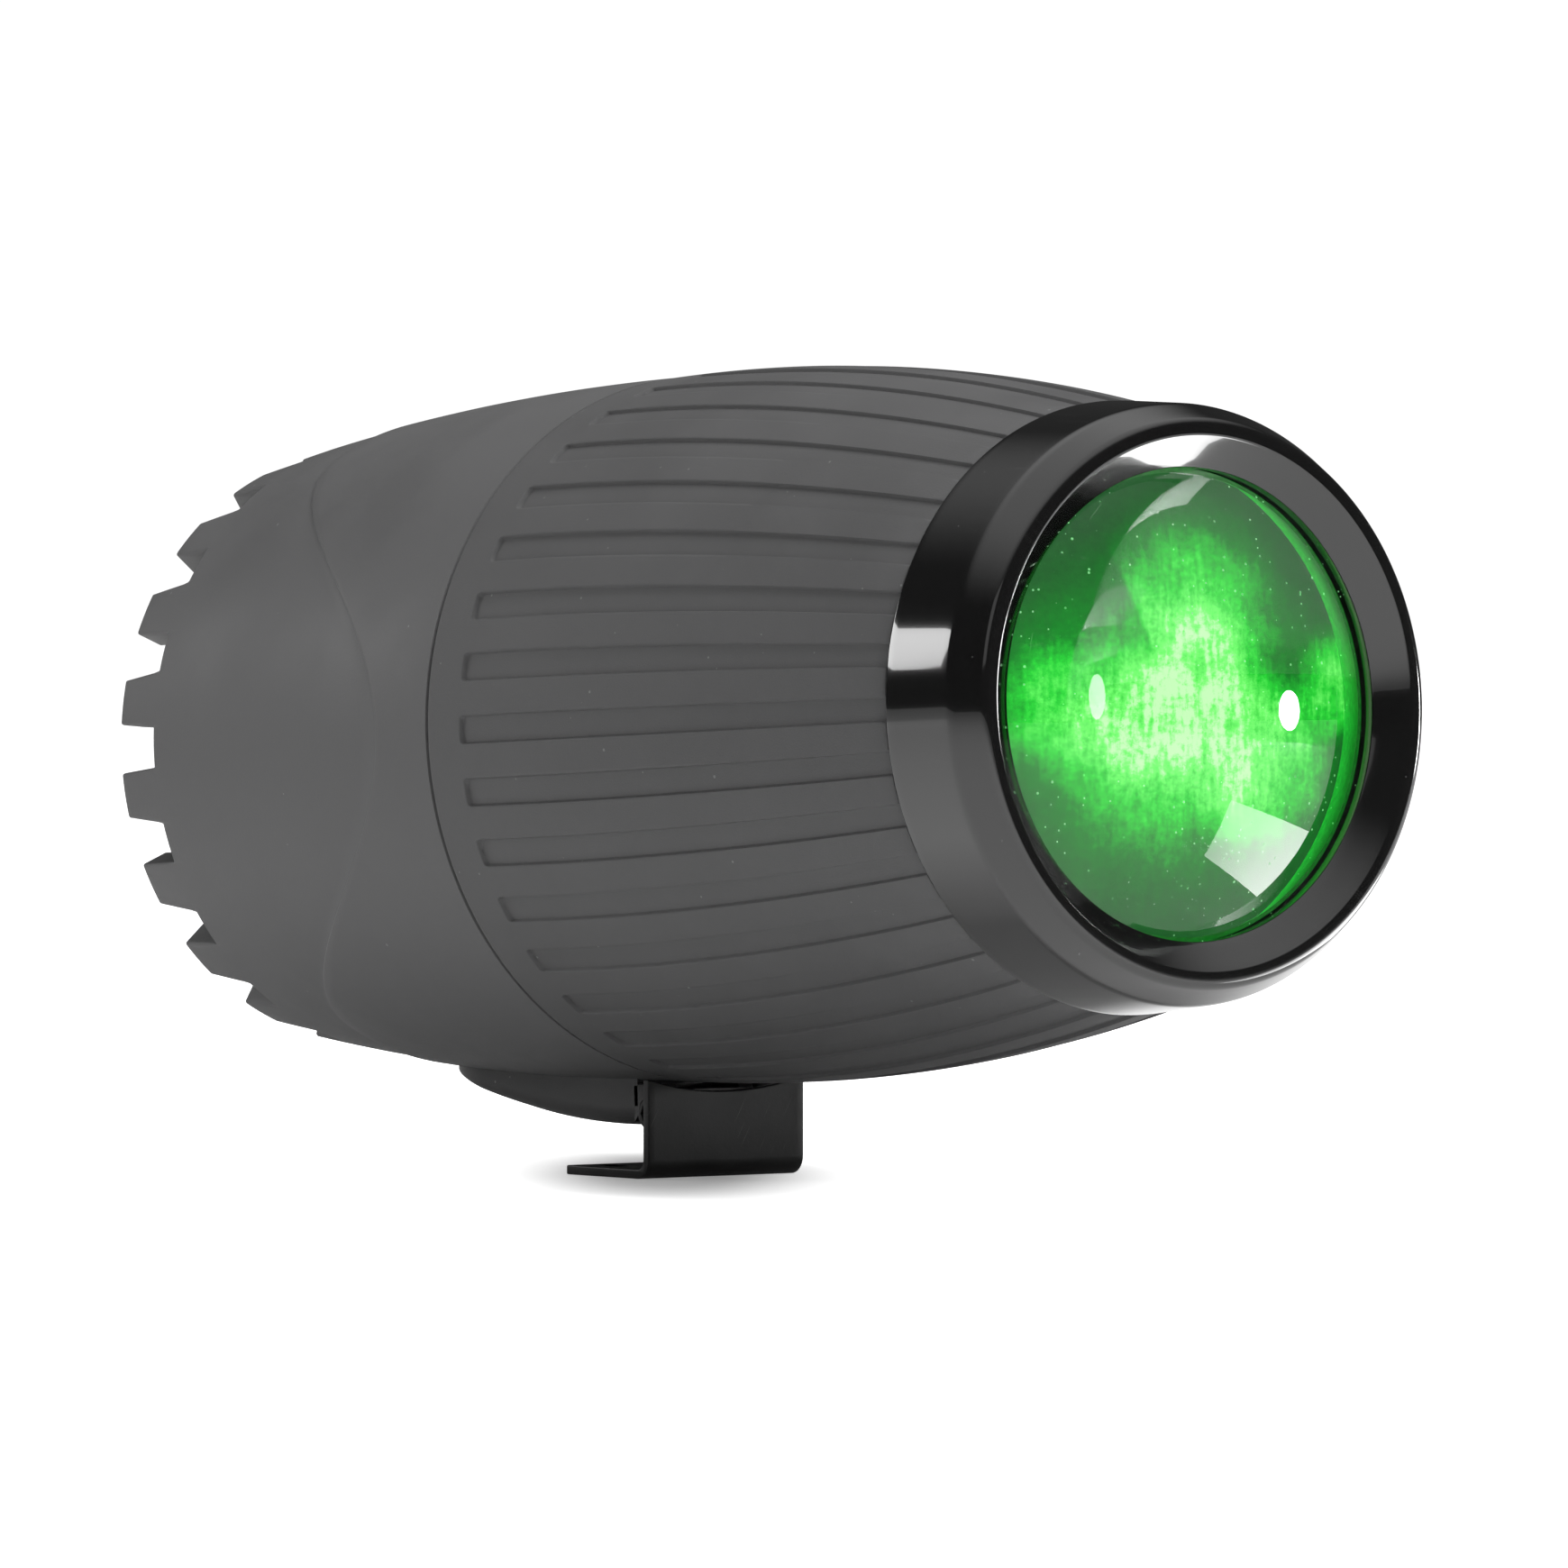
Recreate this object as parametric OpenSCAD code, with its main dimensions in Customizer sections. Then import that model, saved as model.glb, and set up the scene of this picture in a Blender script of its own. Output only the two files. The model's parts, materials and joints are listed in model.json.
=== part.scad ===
// Barrel-shaped underwater spot lamp on a bent-steel foot.
// Frame: +Z up, the lens faces -Y, X is lateral, origin at the middle of the two foot holes, on the floor.
// Head parts are drawn in the head's own frame: Z runs forward along the lamp, Y is up,
// and the seam between the two shells is at Z = 0.

/* [Body shells] */
// Largest outside radius of the body
body_r = 75.2; // [68:0.1:92]
// How far in front of the seam the body is largest
crown_s = 20; // [10:1:30]
// Bulge radius of the front shell's side
front_arc = 540; // [400:10:700]
// Bulge radius of the rear shell's side
rear_arc = 870; // [600:10:1000]
// Front shell, seam to front edge
front_len = 138; // [115:1:166]
// Rear shell, seam to the tips of its teeth
rear_len = 127; // [106:1:153]
// Wall of both shells
wall = 3; // [2.4:0.1:3.8]

/* [Sunk panels of the front shell] */
// Number of grooves round the shell
groove_count = 36; // [24:1:40]
// Angular width of a groove, degrees
groove_deg = 4.4; // [3:0.1:6]
// Depth of a groove
groove_depth = 0.8; // [0.4:0.1:1.2]
// Distance from the seam to where the grooves start
groove_start = 12; // [8:1:20]

/* [Rear rim] */
// Number of teeth round the rear rim
tooth_count = 20; // [12:1:24]
// Length of a tooth
tooth_len = 16; // [10:1:19]
// Share of the pitch taken by the gap at its floor
gap_floor = 0.41; // [0.3:0.01:0.5]
// Share of the pitch taken by the gap at its mouth
gap_mouth = 0.52; // [0.4:0.01:0.6]
// Thickness of the rim that carries the teeth
rim_t = 7; // [5:0.5:9]

/* [Lens and bezel] */
// Outside radius of the bezel at its rear edge
bezel_r = 62.4; // [61.8:0.1:64]
// Length of the bezel from its rear edge to its crest
bezel_len = 26; // [22:1:31]
// Radius of the clear opening in front of the lens
aperture_r = 47.8; // [40:0.1:49]
// Radius of curvature of the lens's front face
lens_dome = 85; // [70:1:110]
// Thickness of the lens at its edge
lens_edge = 5; // [4:0.5:6]
// Angle that the bezel turns to come off, degrees
bayonet_turn = 24; // [18:1:30]

/* [Foot and hinge] */
// Width of the steel bracket
bracket_w = 41.4; // [36:0.2:50]
// Sheet thickness of the bracket
sheet = 2; // [1.5:0.1:2.5]
// Outside radius of the bend
bend_r = 4; // [3:0.5:5]
// Length of the foot along the lamp
foot_len = 29; // [26:1:35]
// Distance between the two foot holes
foot_hole_gap = 29; // [26:0.5:30]
// Diameter of a foot hole
foot_hole_d = 5.5; // [4:0.1:6]
// Height of the tilt pivot above the floor
pivot_z = 13.5; // [13:0.5:16]
// Diameter of the pivot bolt
pivot_d = 4; // [4:0.5:5]
// Width of the slot in the tilt arm that takes the hinge lug
slot_w = 16; // [14:0.5:18]
// Thickness of a cheek of the tilt arm
cheek_t = 4; // [3:0.5:5]
// Depth of the tilt arm below the body at its deepest
arm_depth = 8.7; // [7:0.1:10]
// How far the lamp looks up at rest, degrees
rest_tilt = 2.3; // [0:0.1:6]

/* [Light engine] */
// Radius of the heat sink
sink_r = 58; // [48:1:60]
// Thickness of the heat sink's base
sink_base = 8; // [6:0.5:12]
// Length of the fins
fin_len = 68; // [50:1:70]
// Thickness of a fin
fin_t = 2.6; // [1.5:0.1:3.5]
// Distance between two fins
fin_pitch = 8; // [6:0.5:10]
// Radius of the board that carries the emitters
led_board_r = 22; // [20:1:26]
// Diameter of the cable that the gland takes
cable_d = 7; // [5:0.5:8]

/* [Hidden] */

$fn = 96;
arc_fn = 256;
eps = 0.01;
big = 2 * body_r;

// Clearances
slip = 0.05;        // a fixed screw or spigot in its hole
run = 0.3;          // between the bezel and what it turns against
rub = 0.1;          // flat faces of the hinge
arm_gap = 0.1;      // tilt arm to the shells
web_gap = 1.5;      // top edge of the bracket to the body

// Outside radius of each shell at station s, or of the surface that lies d inside it
function front_r(s, d = 0) =
    body_r - front_arc + sqrt(pow(front_arc - d, 2) - pow(s - crown_s, 2));
seam_r = front_r(0);
function rear_r(s, d = 0) = seam_r - rear_arc + sqrt(pow(rear_arc - d, 2) - pow(s, 2));

// Joint between the shells
spigot_len = 8;
spigot_t = 2.5;
spigot_r = min(front_r(0, wall), front_r(spigot_len, wall)) - slip;
seal_w = 2.6;
seal_t = 1.3;
seal_s = 3;
boss_r = 5;
boss_c = seam_r - wall - boss_r - 1.3;
boss_back = -20;
boss_face = spigot_len + 0.5;

// M3 screws
screw_r = 1.5;
pilot_r = screw_r + slip;
pass_r = 1.8;
head_r = 2.9;
head_h = 2.4;

// Heat sink seat in the front shell
seat_s = 22;
seat_t = 4;
seat_bore = 44;
sink_screw_c = (seat_bore + sink_r) / 2;
pad_t = 0.5;
board_t = 1.6;
board_s = seat_s + pad_t;
led_face = board_s + board_t;
led_pitch = 10;
led_r = 4.2;
led_h = 1.2;
led_lens_r = 3;
led_screw_c = led_board_r - 4;
wire_r = 0.9;
wire_gap = 3.4;
wire_y = 15;
wire_hole_r = 3;

// Neck, lens and bezel
neck_in = aperture_r - 0.1;
lens_r = neck_in + 3;
gasket_t = 1.5;
diffuser_t = 2;
spacer_t = 1.6;
neck_t = 5.2;
neck_r = lens_r + run + neck_t;
bezel_s = front_len + run;
crest_s = front_len + bezel_len;
lip_front = crest_s - 5;
lip_t = 2.2;
lip_back = lip_front - lip_t;
lens_front = lip_back - run;
lens_back = lens_front - lens_edge;
ledge_s = lens_back - gasket_t;
dome_r = aperture_r - 0.5;
dome_c = lens_front - sqrt(pow(lens_dome, 2) - pow(dome_r, 2));
lug_deg = 14;
lug_t = 3;
lug_h = 1.6;
lug_s = front_len + 4;
lug_count = 3;
lug_first = 30;

// Reflector
reflector_t = 1.4;
reflector_foot = 12;
reflector_mouth = neck_in - 3;
reflector_end = front_len - wall;

// Rear cover and driver
flange_s = -(rear_len - tooth_len) + 13;
flange_t = 4;
flange_bore = 50;
cover_gasket_t = 1;
cover_t = 3;
cover_face = flange_s - cover_gasket_t;
cover_r = rear_r(flange_s, rim_t) - 0.6;
cover_screw_c = (flange_bore + cover_r) / 2;
cover_screw_count = 6;
post_c = 38;
post_r = 3.5;
driver_s = cover_face + 19;
driver_r = 46;
transformer = [18, 20, 15];
transformer_at = [-22, 4, 0];
filter = [16, 10, 9];
filter_at = [14, -14, 0];
capacitor_r = 5;
capacitor_h = 14;
capacitor_at = [8, 14, 0];
capacitor_pitch = [13, 0, 0];
chip = [5, 10, 4];
chip_at = [-28, -16, 0];
chip_pitch = [8, 0, 0];
post_screw = 9;

// Cable gland (M12 thread)
gland_y = -20;
gland_thread_r = 6;
gland_flat_r = 9.8;
gland_flange = 4;
gland_stub = 9;
gland_in = 10;
gland_bore_r = cable_d / 2 + 1.2;
nut_r = 8.6;
nut_len = 12;
seal_len = 11;

// Foot, web, hinge
hinge_s = -7.5;
web_front = hinge_s + 9;
web_back = web_front - sheet;
foot_back = web_front - foot_len;
hole_s = foot_back + 10;
pivot_drop = seam_r + 6.2;
nose_r = 5.2;
lug_room = 0.8;     // round the lug's nose
cheek_front = 2;
arm_half = slot_w / 2 + cheek_t;
washer_t = 0.7;
lug_half = slot_w / 2 - washer_t - 2 * rub;
washer_r = 4.4;
arm_low_s = hinge_s - 7;
arm_back = -(rear_len - tooth_len) + 25;
arm_end_t = 0.3;    // what is left of the arm where it dies away
arm_run = arm_low_s - arm_back;
arm_rise = arm_depth + seam_r - rear_r(arm_back) - arm_end_t;
arm_arc = (pow(arm_run, 2) + pow(arm_rise, 2)) / (2 * arm_rise);
arm_wall = 2.5;
arm_rib = 5;        // half width of the rib round each screw
arm_seat_t = 2.5;   // plastic under a screw head
arm_floor_y = -(seam_r + arm_depth);
arm_screw_s = [arm_back * 0.7, arm_back * 0.35];
arm_boss_len = 8;   // boss inside the rear shell
arm_boss_r = 4;
arm_bite = 5;       // how far a screw reaches past the shell's wall
knob_r = 6.3;
knob_w = 7;
knob_washer_t = 0.8;
knob_washer_r = 5;
knob_flutes = 12;
knob_flute_r = 1;
knob_cap_t = 2;     // closed end of the knob, past the bolt
bolt_play = 0.08;
bolt_head_r = 3.8;
bolt_head_t = 2.6;

// ---------------------------------------------------------------- frames

// Head frame to part frame, at the rest tilt about the pivot
module head() {
    translate([0, hole_s - hinge_s, pivot_z])
        rotate([-rest_tilt, 0, 0])
            translate([0, hinge_s, pivot_drop])
                rotate([90, 0, 0]) children();
}

// Side-view frame: X is the station along the lamp and Y the height. What is drawn is
// extruded sideways from x0 to x1, in the head frame.
module sideways(x0, x1) {
    translate([x0, 0, 0]) rotate([0, -90, 0]) mirror([0, 0, 1]) linear_extrude(x1 - x0) children();
}

// The same for pieces fixed to the foot, where Y is the height above the floor
module foot_side(x0, x1) {
    translate([0, hole_s, 0]) rotate([90, 0, 0]) sideways(x0, x1) children();
}

module around(count, first = 0) {
    for (i = [0 : count - 1]) rotate([0, 0, first + i * 360 / count]) children();
}

// ---------------------------------------------------------------- outlines (X = radius, Y = station)

module band(s0, s1) { translate([0, s0]) square([big, s1 - s0]); }

module front_outline(d, s0, s1) {
    intersection() {
        translate([body_r - front_arc, crown_s]) circle(front_arc - d, $fn = arc_fn);
        band(s0, s1);
    }
}

module rear_outline(d, s0, s1) {
    intersection() {
        translate([seam_r - rear_arc, 0]) circle(rear_arc - d, $fn = arc_fn);
        band(s0, s1);
    }
}

module ring(r0, r1, s0, s1) { translate([r0, s0]) square([r1 - r0, s1 - s0]); }

module screw(length) {
    cylinder(h = length, r = screw_r);
    translate([0, 0, -head_h]) cylinder(h = head_h, r = head_r);
}

// ---------------------------------------------------------------- shells

module front_groove() {
    rotate([0, 0, -groove_deg / 2]) rotate_extrude(angle = groove_deg) difference() {
        front_outline(-2, groove_start, front_len + 1);
        front_outline(groove_depth, groove_start - 1, front_len + 2);
    }
}

module bayonet_slot() {
    depth = lug_h + run;
    back = lug_s - run;
    front = lug_s + lug_t + run;
    side = lug_deg / 2 + 1;
    rotate([0, 0, -side]) rotate_extrude(angle = bayonet_turn + 2 * side + 1)
        ring(neck_r - depth - run, neck_r + run, back, front);
    rotate([0, 0, bayonet_turn - side]) rotate_extrude(angle = 2 * side)
        ring(neck_r - depth, neck_r + 2 * run, (back + front) / 2, lens_front + 1);
}

module front_shell() {
    color([0.33, 0.33, 0.34]) head() difference() {
        union() {
            rotate_extrude() union() {
                difference() {
                    front_outline(0, 0, front_len);
                    front_outline(wall, -1, front_len - wall);
                    ring(0, neck_in, front_len - wall - 1, front_len + 1);
                }
                ring(neck_in, neck_r, front_len - wall, ledge_s);
                ring(lens_r + run, neck_r, ledge_s - eps, lens_front - run);
                difference() {
                    front_outline(wall / 2, seat_s, seat_s + seat_t);
                    ring(0, seat_bore, seat_s - 1, seat_s + seat_t + 1);
                }
            }
            intersection() {
                rotate_extrude() front_outline(wall / 2, boss_face, seat_s + 1);
                around(4, 45) translate([boss_c, 0, boss_face])
                    cylinder(h = seat_s - boss_face + 1, r = boss_r);
            }
        }
        around(groove_count) front_groove();
        around(lug_count, lug_first) bayonet_slot();
        around(4, 45) translate([boss_c, 0, boss_face - 1]) cylinder(h = seat_s - boss_face, r = pilot_r);
        around(4) translate([sink_screw_c, 0, seat_s - 1]) cylinder(h = seat_t + 2, r = pass_r);
    }
}

module rim_gap() {
    pitch = 360 / tooth_count;
    r_mid = rear_r(-(rear_len - tooth_len));
    w_floor = 2 * r_mid * sin(pitch * gap_floor / 2);
    w_mouth = 2 * r_mid * sin(pitch * gap_mouth / 2);
    translate([r_mid - 2 * rim_t, 0, -rear_len]) rotate([90, 0, 90]) linear_extrude(4 * rim_t)
        polygon([[-w_floor / 2, tooth_len], [w_floor / 2, tooth_len],
            [w_mouth / 2, -1], [-w_mouth / 2, -1]]);
}

module rear_shell() {
    color([0.40, 0.40, 0.41]) head() difference() {
        union() {
            rotate_extrude() union() {
                difference() {
                    rear_outline(0, flange_s, 0);
                    rear_outline(wall, flange_s + flange_t, 1);
                    ring(0, flange_bore, flange_s - 1, flange_s + flange_t + 1);
                }
                difference() {
                    ring(spigot_r - spigot_t, spigot_r, 0 - eps, spigot_len);
                    ring(spigot_r - seal_t, spigot_r + 1, seal_s, seal_s + seal_w);
                }
                intersection() {
                    rear_outline(wall / 2, -2 * spigot_t, 0);
                    ring(spigot_r - spigot_t, seam_r, -2 * spigot_t, 0);
                }
            }
            intersection() {
                rotate_extrude() ring(0, spigot_r - spigot_t / 2, boss_back, boss_face);
                around(4, 45) translate([boss_c, 0, boss_back])
                    cylinder(h = boss_face - boss_back, r = boss_r);
            }
            for (s = arm_screw_s) intersection() {
                rotate_extrude() rear_outline(wall / 2, arm_back, 0);
                translate([0, arm_boss_len + wall - rear_r(s), s]) rotate([90, 0, 0])
                    cylinder(h = arm_boss_len + wall / 2, r = arm_boss_r);
            }
        }
        around(4, 45) translate([boss_c, 0, boss_back - 1])
            cylinder(h = boss_face - boss_back + 2, r = pass_r);
        around(cover_screw_count) translate([cover_screw_c, 0, flange_s - 1])
            cylinder(h = flange_t, r = pilot_r);
        for (s = arm_screw_s) translate([0, arm_bite + wall - rear_r(s), s]) rotate([90, 0, 0])
            cylinder(h = big, r = pilot_r);
    }
}

// The thick castellated rim behind the flange
module rear_rim() {
    color([0.40, 0.40, 0.41]) head() difference() {
        rotate_extrude() difference() {
            rear_outline(0, -rear_len, flange_s);
            rear_outline(rim_t, -rear_len - 1, flange_s + 1);
        }
        around(tooth_count) rim_gap();
    }
}

module shell_seal() {
    color([0.08, 0.08, 0.08]) head() rotate_extrude()
        ring(spigot_r - seal_t, spigot_r, seal_s, seal_s + seal_w);
}

module shell_screws() {
    color("silver") head() around(4, 45) translate([boss_c, 0, boss_back])
        screw(seat_s - boss_back - 3);
}

// ---------------------------------------------------------------- lens end

// Rounded shoulder between the side band and the crest, as a quarter of an ellipse
shoulder_s = crest_s - 9;
shoulder_r = bezel_r - 1.7;
crest_r = bezel_r - 5.5;
crest_in = bezel_r - 8.3;
function shoulder(steps) = [for (i = [0 : steps]) let (a = 90 * i / steps)
    [crest_r + (shoulder_r - crest_r) * cos(a), shoulder_s + (crest_s - shoulder_s) * sin(a)]];

module bezel_ring() {
    color([0.05, 0.05, 0.055]) head() {
        rotate_extrude() polygon(concat(
            [[neck_r + run, bezel_s], [bezel_r, bezel_s]],
            shoulder(6),
            [[crest_in, crest_s], [aperture_r, lip_front], [aperture_r, lip_back],
             [neck_r + run, lip_back]]));
        around(lug_count, lug_first) rotate([0, 0, -lug_deg / 2]) rotate_extrude(angle = lug_deg)
            ring(neck_r + run - lug_h, neck_r + run + 1, lug_s, lug_s + lug_t);
    }
}

module lens() {
    color([0.55, 1.0, 0.55, 0.6]) head() rotate_extrude() union() {
        ring(0, lens_r, lens_back, lens_front);
        intersection() {
            translate([0, dome_c]) circle(lens_dome, $fn = arc_fn);
            ring(0, dome_r, lens_front - 1, dome_c + lens_dome + 1);
        }
    }
}

module lens_gasket() {
    color([0.08, 0.08, 0.08]) head() rotate_extrude() ring(neck_in + 0.2, lens_r, ledge_s, lens_back);
}

module diffuser() {
    color([0.6, 1.0, 0.6, 0.8]) head() translate([0, 0, front_len - wall])
        cylinder(h = diffuser_t, r = neck_in - slip);
}

module spacer_tube() {
    color([0.06, 0.06, 0.06]) head() rotate_extrude()
        ring(neck_in - spacer_t, neck_in - slip, front_len - wall + diffuser_t, lens_back);
}

module reflector() {
    color([0.85, 0.87, 0.88]) head() rotate_extrude() polygon([
        [reflector_foot, led_face], [reflector_foot + 2.5, led_face],
        [reflector_mouth + reflector_t, reflector_end - reflector_t],
        [neck_in + 2, reflector_end - reflector_t], [neck_in + 2, reflector_end],
        [reflector_mouth, reflector_end], [reflector_foot, led_face + 2]]);
}

module led_grid() {
    for (x = [-1, 1], y = [-1, 1]) translate([x * led_pitch / 2, y * led_pitch / 2, led_face]) children();
}

module led_emitters() {
    color([0.4, 1.0, 0.3]) head() led_grid() rotate_extrude() union() {
        ring(0, led_r, 0, led_h);
        intersection() {
            translate([0, led_h]) circle(led_lens_r);
            ring(0, led_r, 0, led_h + led_lens_r);
        }
    }
}

module led_board() {
    color([0.9, 0.9, 0.88]) head() difference() {
        translate([0, 0, board_s]) cylinder(h = board_t, r = led_board_r);
        around(3, 90) translate([led_screw_c, 0, board_s - 1]) cylinder(h = board_t + 2, r = pass_r);
    }
}

module thermal_pad() {
    color([0.6, 0.62, 0.65]) head() difference() {
        translate([0, 0, seat_s]) cylinder(h = pad_t, r = led_board_r);
        around(3, 90) translate([led_screw_c, 0, seat_s - 1]) cylinder(h = pad_t + 2, r = pass_r);
        translate([0, -wire_y, seat_s - 1]) cylinder(h = pad_t + 2, r = wire_hole_r);
    }
}

module led_board_screws() {
    color("silver") head() around(3, 90) translate([led_screw_c, 0, led_face]) rotate([180, 0, 0])
        screw(6.5);
}

module led_wires() {
    color([0.7, 0.1, 0.1]) head() for (x = [-1, 1])
        translate([x * wire_gap / 2 * 0.6, -wire_y, driver_s + board_t])
            cylinder(h = board_s - driver_s - board_t, r = wire_r);
}

// ---------------------------------------------------------------- heat sink

fin_count = 2 * floor(sink_r / fin_pitch);
module heat_sink() {
    color([0.72, 0.73, 0.75]) head() difference() {
        union() {
            translate([0, 0, seat_s - sink_base]) cylinder(h = sink_base, r = sink_r);
            intersection() {
                translate([0, 0, seat_s - sink_base - fin_len]) cylinder(h = fin_len + 1, r = sink_r);
                for (i = [0 : fin_count - 1])
                    translate([(i - (fin_count - 1) / 2) * fin_pitch - fin_t / 2, -sink_r,
                        seat_s - sink_base - fin_len])
                        cube([fin_t, 2 * sink_r, fin_len + 1]);
            }
        }
        around(4) translate([sink_screw_c, 0, seat_s - sink_base + 1.5]) cylinder(h = sink_base, r = pilot_r);
        around(3, 90) translate([led_screw_c, 0, seat_s - sink_base + 1.5])
            cylinder(h = sink_base, r = pilot_r);
        translate([0, -wire_y, seat_s - sink_base - 1]) cylinder(h = sink_base + 2, r = wire_hole_r - 0.4);
    }
}

module heat_sink_screws() {
    color("silver") head() around(4) translate([sink_screw_c, 0, seat_s + seat_t]) rotate([180, 0, 0])
        screw(seat_t + sink_base - 2);
}

// ---------------------------------------------------------------- driver and rear cover

module driver_board() {
    color([0.1, 0.35, 0.18]) head() difference() {
        translate([0, 0, driver_s]) cylinder(h = board_t, r = driver_r);
        around(4, 45) translate([post_c, 0, driver_s - 1]) cylinder(h = board_t + 2, r = pass_r);
    }
}

module driver_parts() {
    color([0.15, 0.15, 0.17]) head() translate([0, 0, driver_s + board_t]) {
        translate(transformer_at) cube(transformer);
        for (i = [0, 1]) translate(capacitor_at + i * capacitor_pitch)
            cylinder(h = capacitor_h, r = capacitor_r);
        translate(filter_at) cube(filter);
        for (i = [0 : 2]) translate(chip_at + i * chip_pitch) cube(chip);
    }
}

module driver_screws() {
    color("silver") head() around(4, 45) translate([post_c, 0, driver_s + board_t]) rotate([180, 0, 0])
        screw(post_screw);
}

module rear_cover() {
    color([0.17, 0.17, 0.18]) head() difference() {
        union() {
            translate([0, 0, cover_face - cover_t]) cylinder(h = cover_t, r = cover_r);
            around(4, 45) translate([post_c, 0, cover_face - 1])
                cylinder(h = driver_s - cover_face + 1, r = post_r);
        }
        around(4, 45) translate([post_c, 0, driver_s + board_t - post_screw - 1])
            cylinder(h = post_screw, r = pilot_r);
        around(cover_screw_count) translate([cover_screw_c, 0, cover_face - cover_t - 1])
            cylinder(h = cover_t + 2, r = pass_r);
        translate([0, gland_y, cover_face - cover_t - 1])
            cylinder(h = cover_t + 2, r = gland_thread_r + slip);
    }
}

module rear_cover_gasket() {
    color([0.08, 0.08, 0.08]) head() difference() {
        translate([0, 0, cover_face]) cylinder(h = cover_gasket_t, r = cover_r);
        translate([0, 0, cover_face - 1]) cylinder(h = cover_gasket_t + 2, r = flange_bore);
        around(cover_screw_count) translate([cover_screw_c, 0, cover_face - 1])
            cylinder(h = cover_gasket_t + 2, r = pass_r);
    }
}

module rear_cover_screws() {
    color("silver") head() around(cover_screw_count)
        translate([cover_screw_c, 0, cover_face - cover_t]) screw(cover_t + cover_gasket_t + 2.5);
}

gland_face = cover_face - cover_t;
module gland_body() {
    color([0.12, 0.12, 0.13]) head() translate([0, gland_y, gland_face]) difference() {
        union() {
            translate([0, 0, -gland_flange]) cylinder(h = gland_flange, r = gland_flat_r, $fn = 6);
            cylinder(h = gland_in, r = gland_thread_r);
            translate([0, 0, -gland_flange - gland_stub]) cylinder(h = gland_stub + 1, r = gland_thread_r);
        }
        translate([0, 0, -gland_flange - gland_stub - 1])
            cylinder(h = gland_flange + gland_stub + gland_in + 2, r = gland_bore_r);
    }
}

module gland_locknut() {
    color([0.12, 0.12, 0.13]) head() translate([0, gland_y, cover_face]) difference() {
        cylinder(h = 4, r = gland_flat_r - 1, $fn = 6);
        translate([0, 0, -1]) cylinder(h = 6, r = gland_thread_r + slip);
    }
}

module gland_seal() {
    color([0.05, 0.05, 0.05]) head() translate([0, gland_y, gland_face - gland_flange - gland_stub - 1])
        difference() {
            cylinder(h = seal_len, r = gland_bore_r - slip);
            translate([0, 0, -1]) cylinder(h = seal_len + 2, r = cable_d / 2);
        }
}

module gland_nut() {
    end = gland_face - gland_flange - 0.5;
    color([0.12, 0.12, 0.13]) head() translate([0, gland_y, end - nut_len]) difference() {
        union() {
            translate([0, 0, 4]) cylinder(h = nut_len - 4, r = nut_r, $fn = 6);
            rotate_extrude() polygon([[0, 0], [nut_r - 3, 0], [nut_r - 1.4, 5], [0, 5]]);
        }
        translate([0, 0, nut_len - gland_stub - 0.4])
            cylinder(h = gland_stub + 1, r = gland_thread_r + slip);
        translate([0, 0, -1]) cylinder(h = nut_len, r = gland_bore_r + slip);
    }
}

// ---------------------------------------------------------------- tilt arm and hinge

module arm_outline(d, s0, s1) {
    intersection() {
        translate([arm_low_s, arm_floor_y + arm_arc]) circle(arm_arc - d, $fn = arc_fn);
        translate([s0, arm_floor_y]) square([s1 - s0, arm_depth + 12]);
    }
}

module body_envelope(d) {
    rotate_extrude() rear_outline(-d, arm_back - 20, 1);
    rotate_extrude() front_outline(-d, 0, 20);
}

module tilt_arm() {
    pocket = arm_half - arm_wall;
    stations = concat([arm_back + 14], arm_screw_s, [hinge_s - nose_r - 6]);
    color([0.09, 0.09, 0.095]) head() difference() {
        sideways(-arm_half, arm_half) {
            arm_outline(0, arm_back, hinge_s);
            translate([hinge_s, -pivot_drop]) circle(nose_r);
            translate([hinge_s - nose_r, -pivot_drop]) square([nose_r + cheek_front, pivot_drop - seam_r + 6]);
        }
        body_envelope(arm_gap);
        sideways(-slot_w / 2, slot_w / 2) {
            translate([hinge_s, -pivot_drop]) circle(nose_r + lug_room);
            translate([hinge_s - nose_r - lug_room, -pivot_drop - big / 2]) square(big);
        }
        for (i = [0 : 2]) sideways(-pocket, pocket)
            arm_outline(arm_wall, stations[i] + arm_rib * min(i, 1),
                stations[i + 1] - arm_rib * min(2 - i, 1));
        translate([0, -pivot_drop, hinge_s]) rotate([0, 90, 0])
            cylinder(h = 4 * arm_half, r = pivot_d / 2 + slip, center = true);
        for (s = arm_screw_s) translate([0, -rear_r(s), s]) rotate([90, 0, 0]) {
            translate([0, 0, -1]) cylinder(h = big, r = pass_r);
            translate([0, 0, arm_seat_t]) cylinder(h = big, r = head_r + run);
        }
    }
}

module tilt_arm_screws() {
    color("silver") head() for (s = arm_screw_s)
        translate([0, -rear_r(s) - arm_seat_t, s]) rotate([-90, 0, 0]) screw(arm_seat_t + wall + arm_bite - 1);
}

module on_pivot() {
    head() translate([0, -pivot_drop, hinge_s]) rotate([0, 90, 0]) children();
}

module pivot_bolt() {
    color("silver") on_pivot() {
        translate([0, 0, -arm_half])
            cylinder(h = 2 * arm_half + knob_washer_t + knob_w - knob_cap_t, r = pivot_d / 2);
        translate([0, 0, -arm_half - bolt_head_t]) cylinder(h = bolt_head_t, r = bolt_head_r);
    }
}

module washer(x, t, r) {
    translate([0, 0, x]) difference() {
        cylinder(h = t, r = r);
        translate([0, 0, -1]) cylinder(h = t + 2, r = pivot_d / 2 + slip);
    }
}

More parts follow.
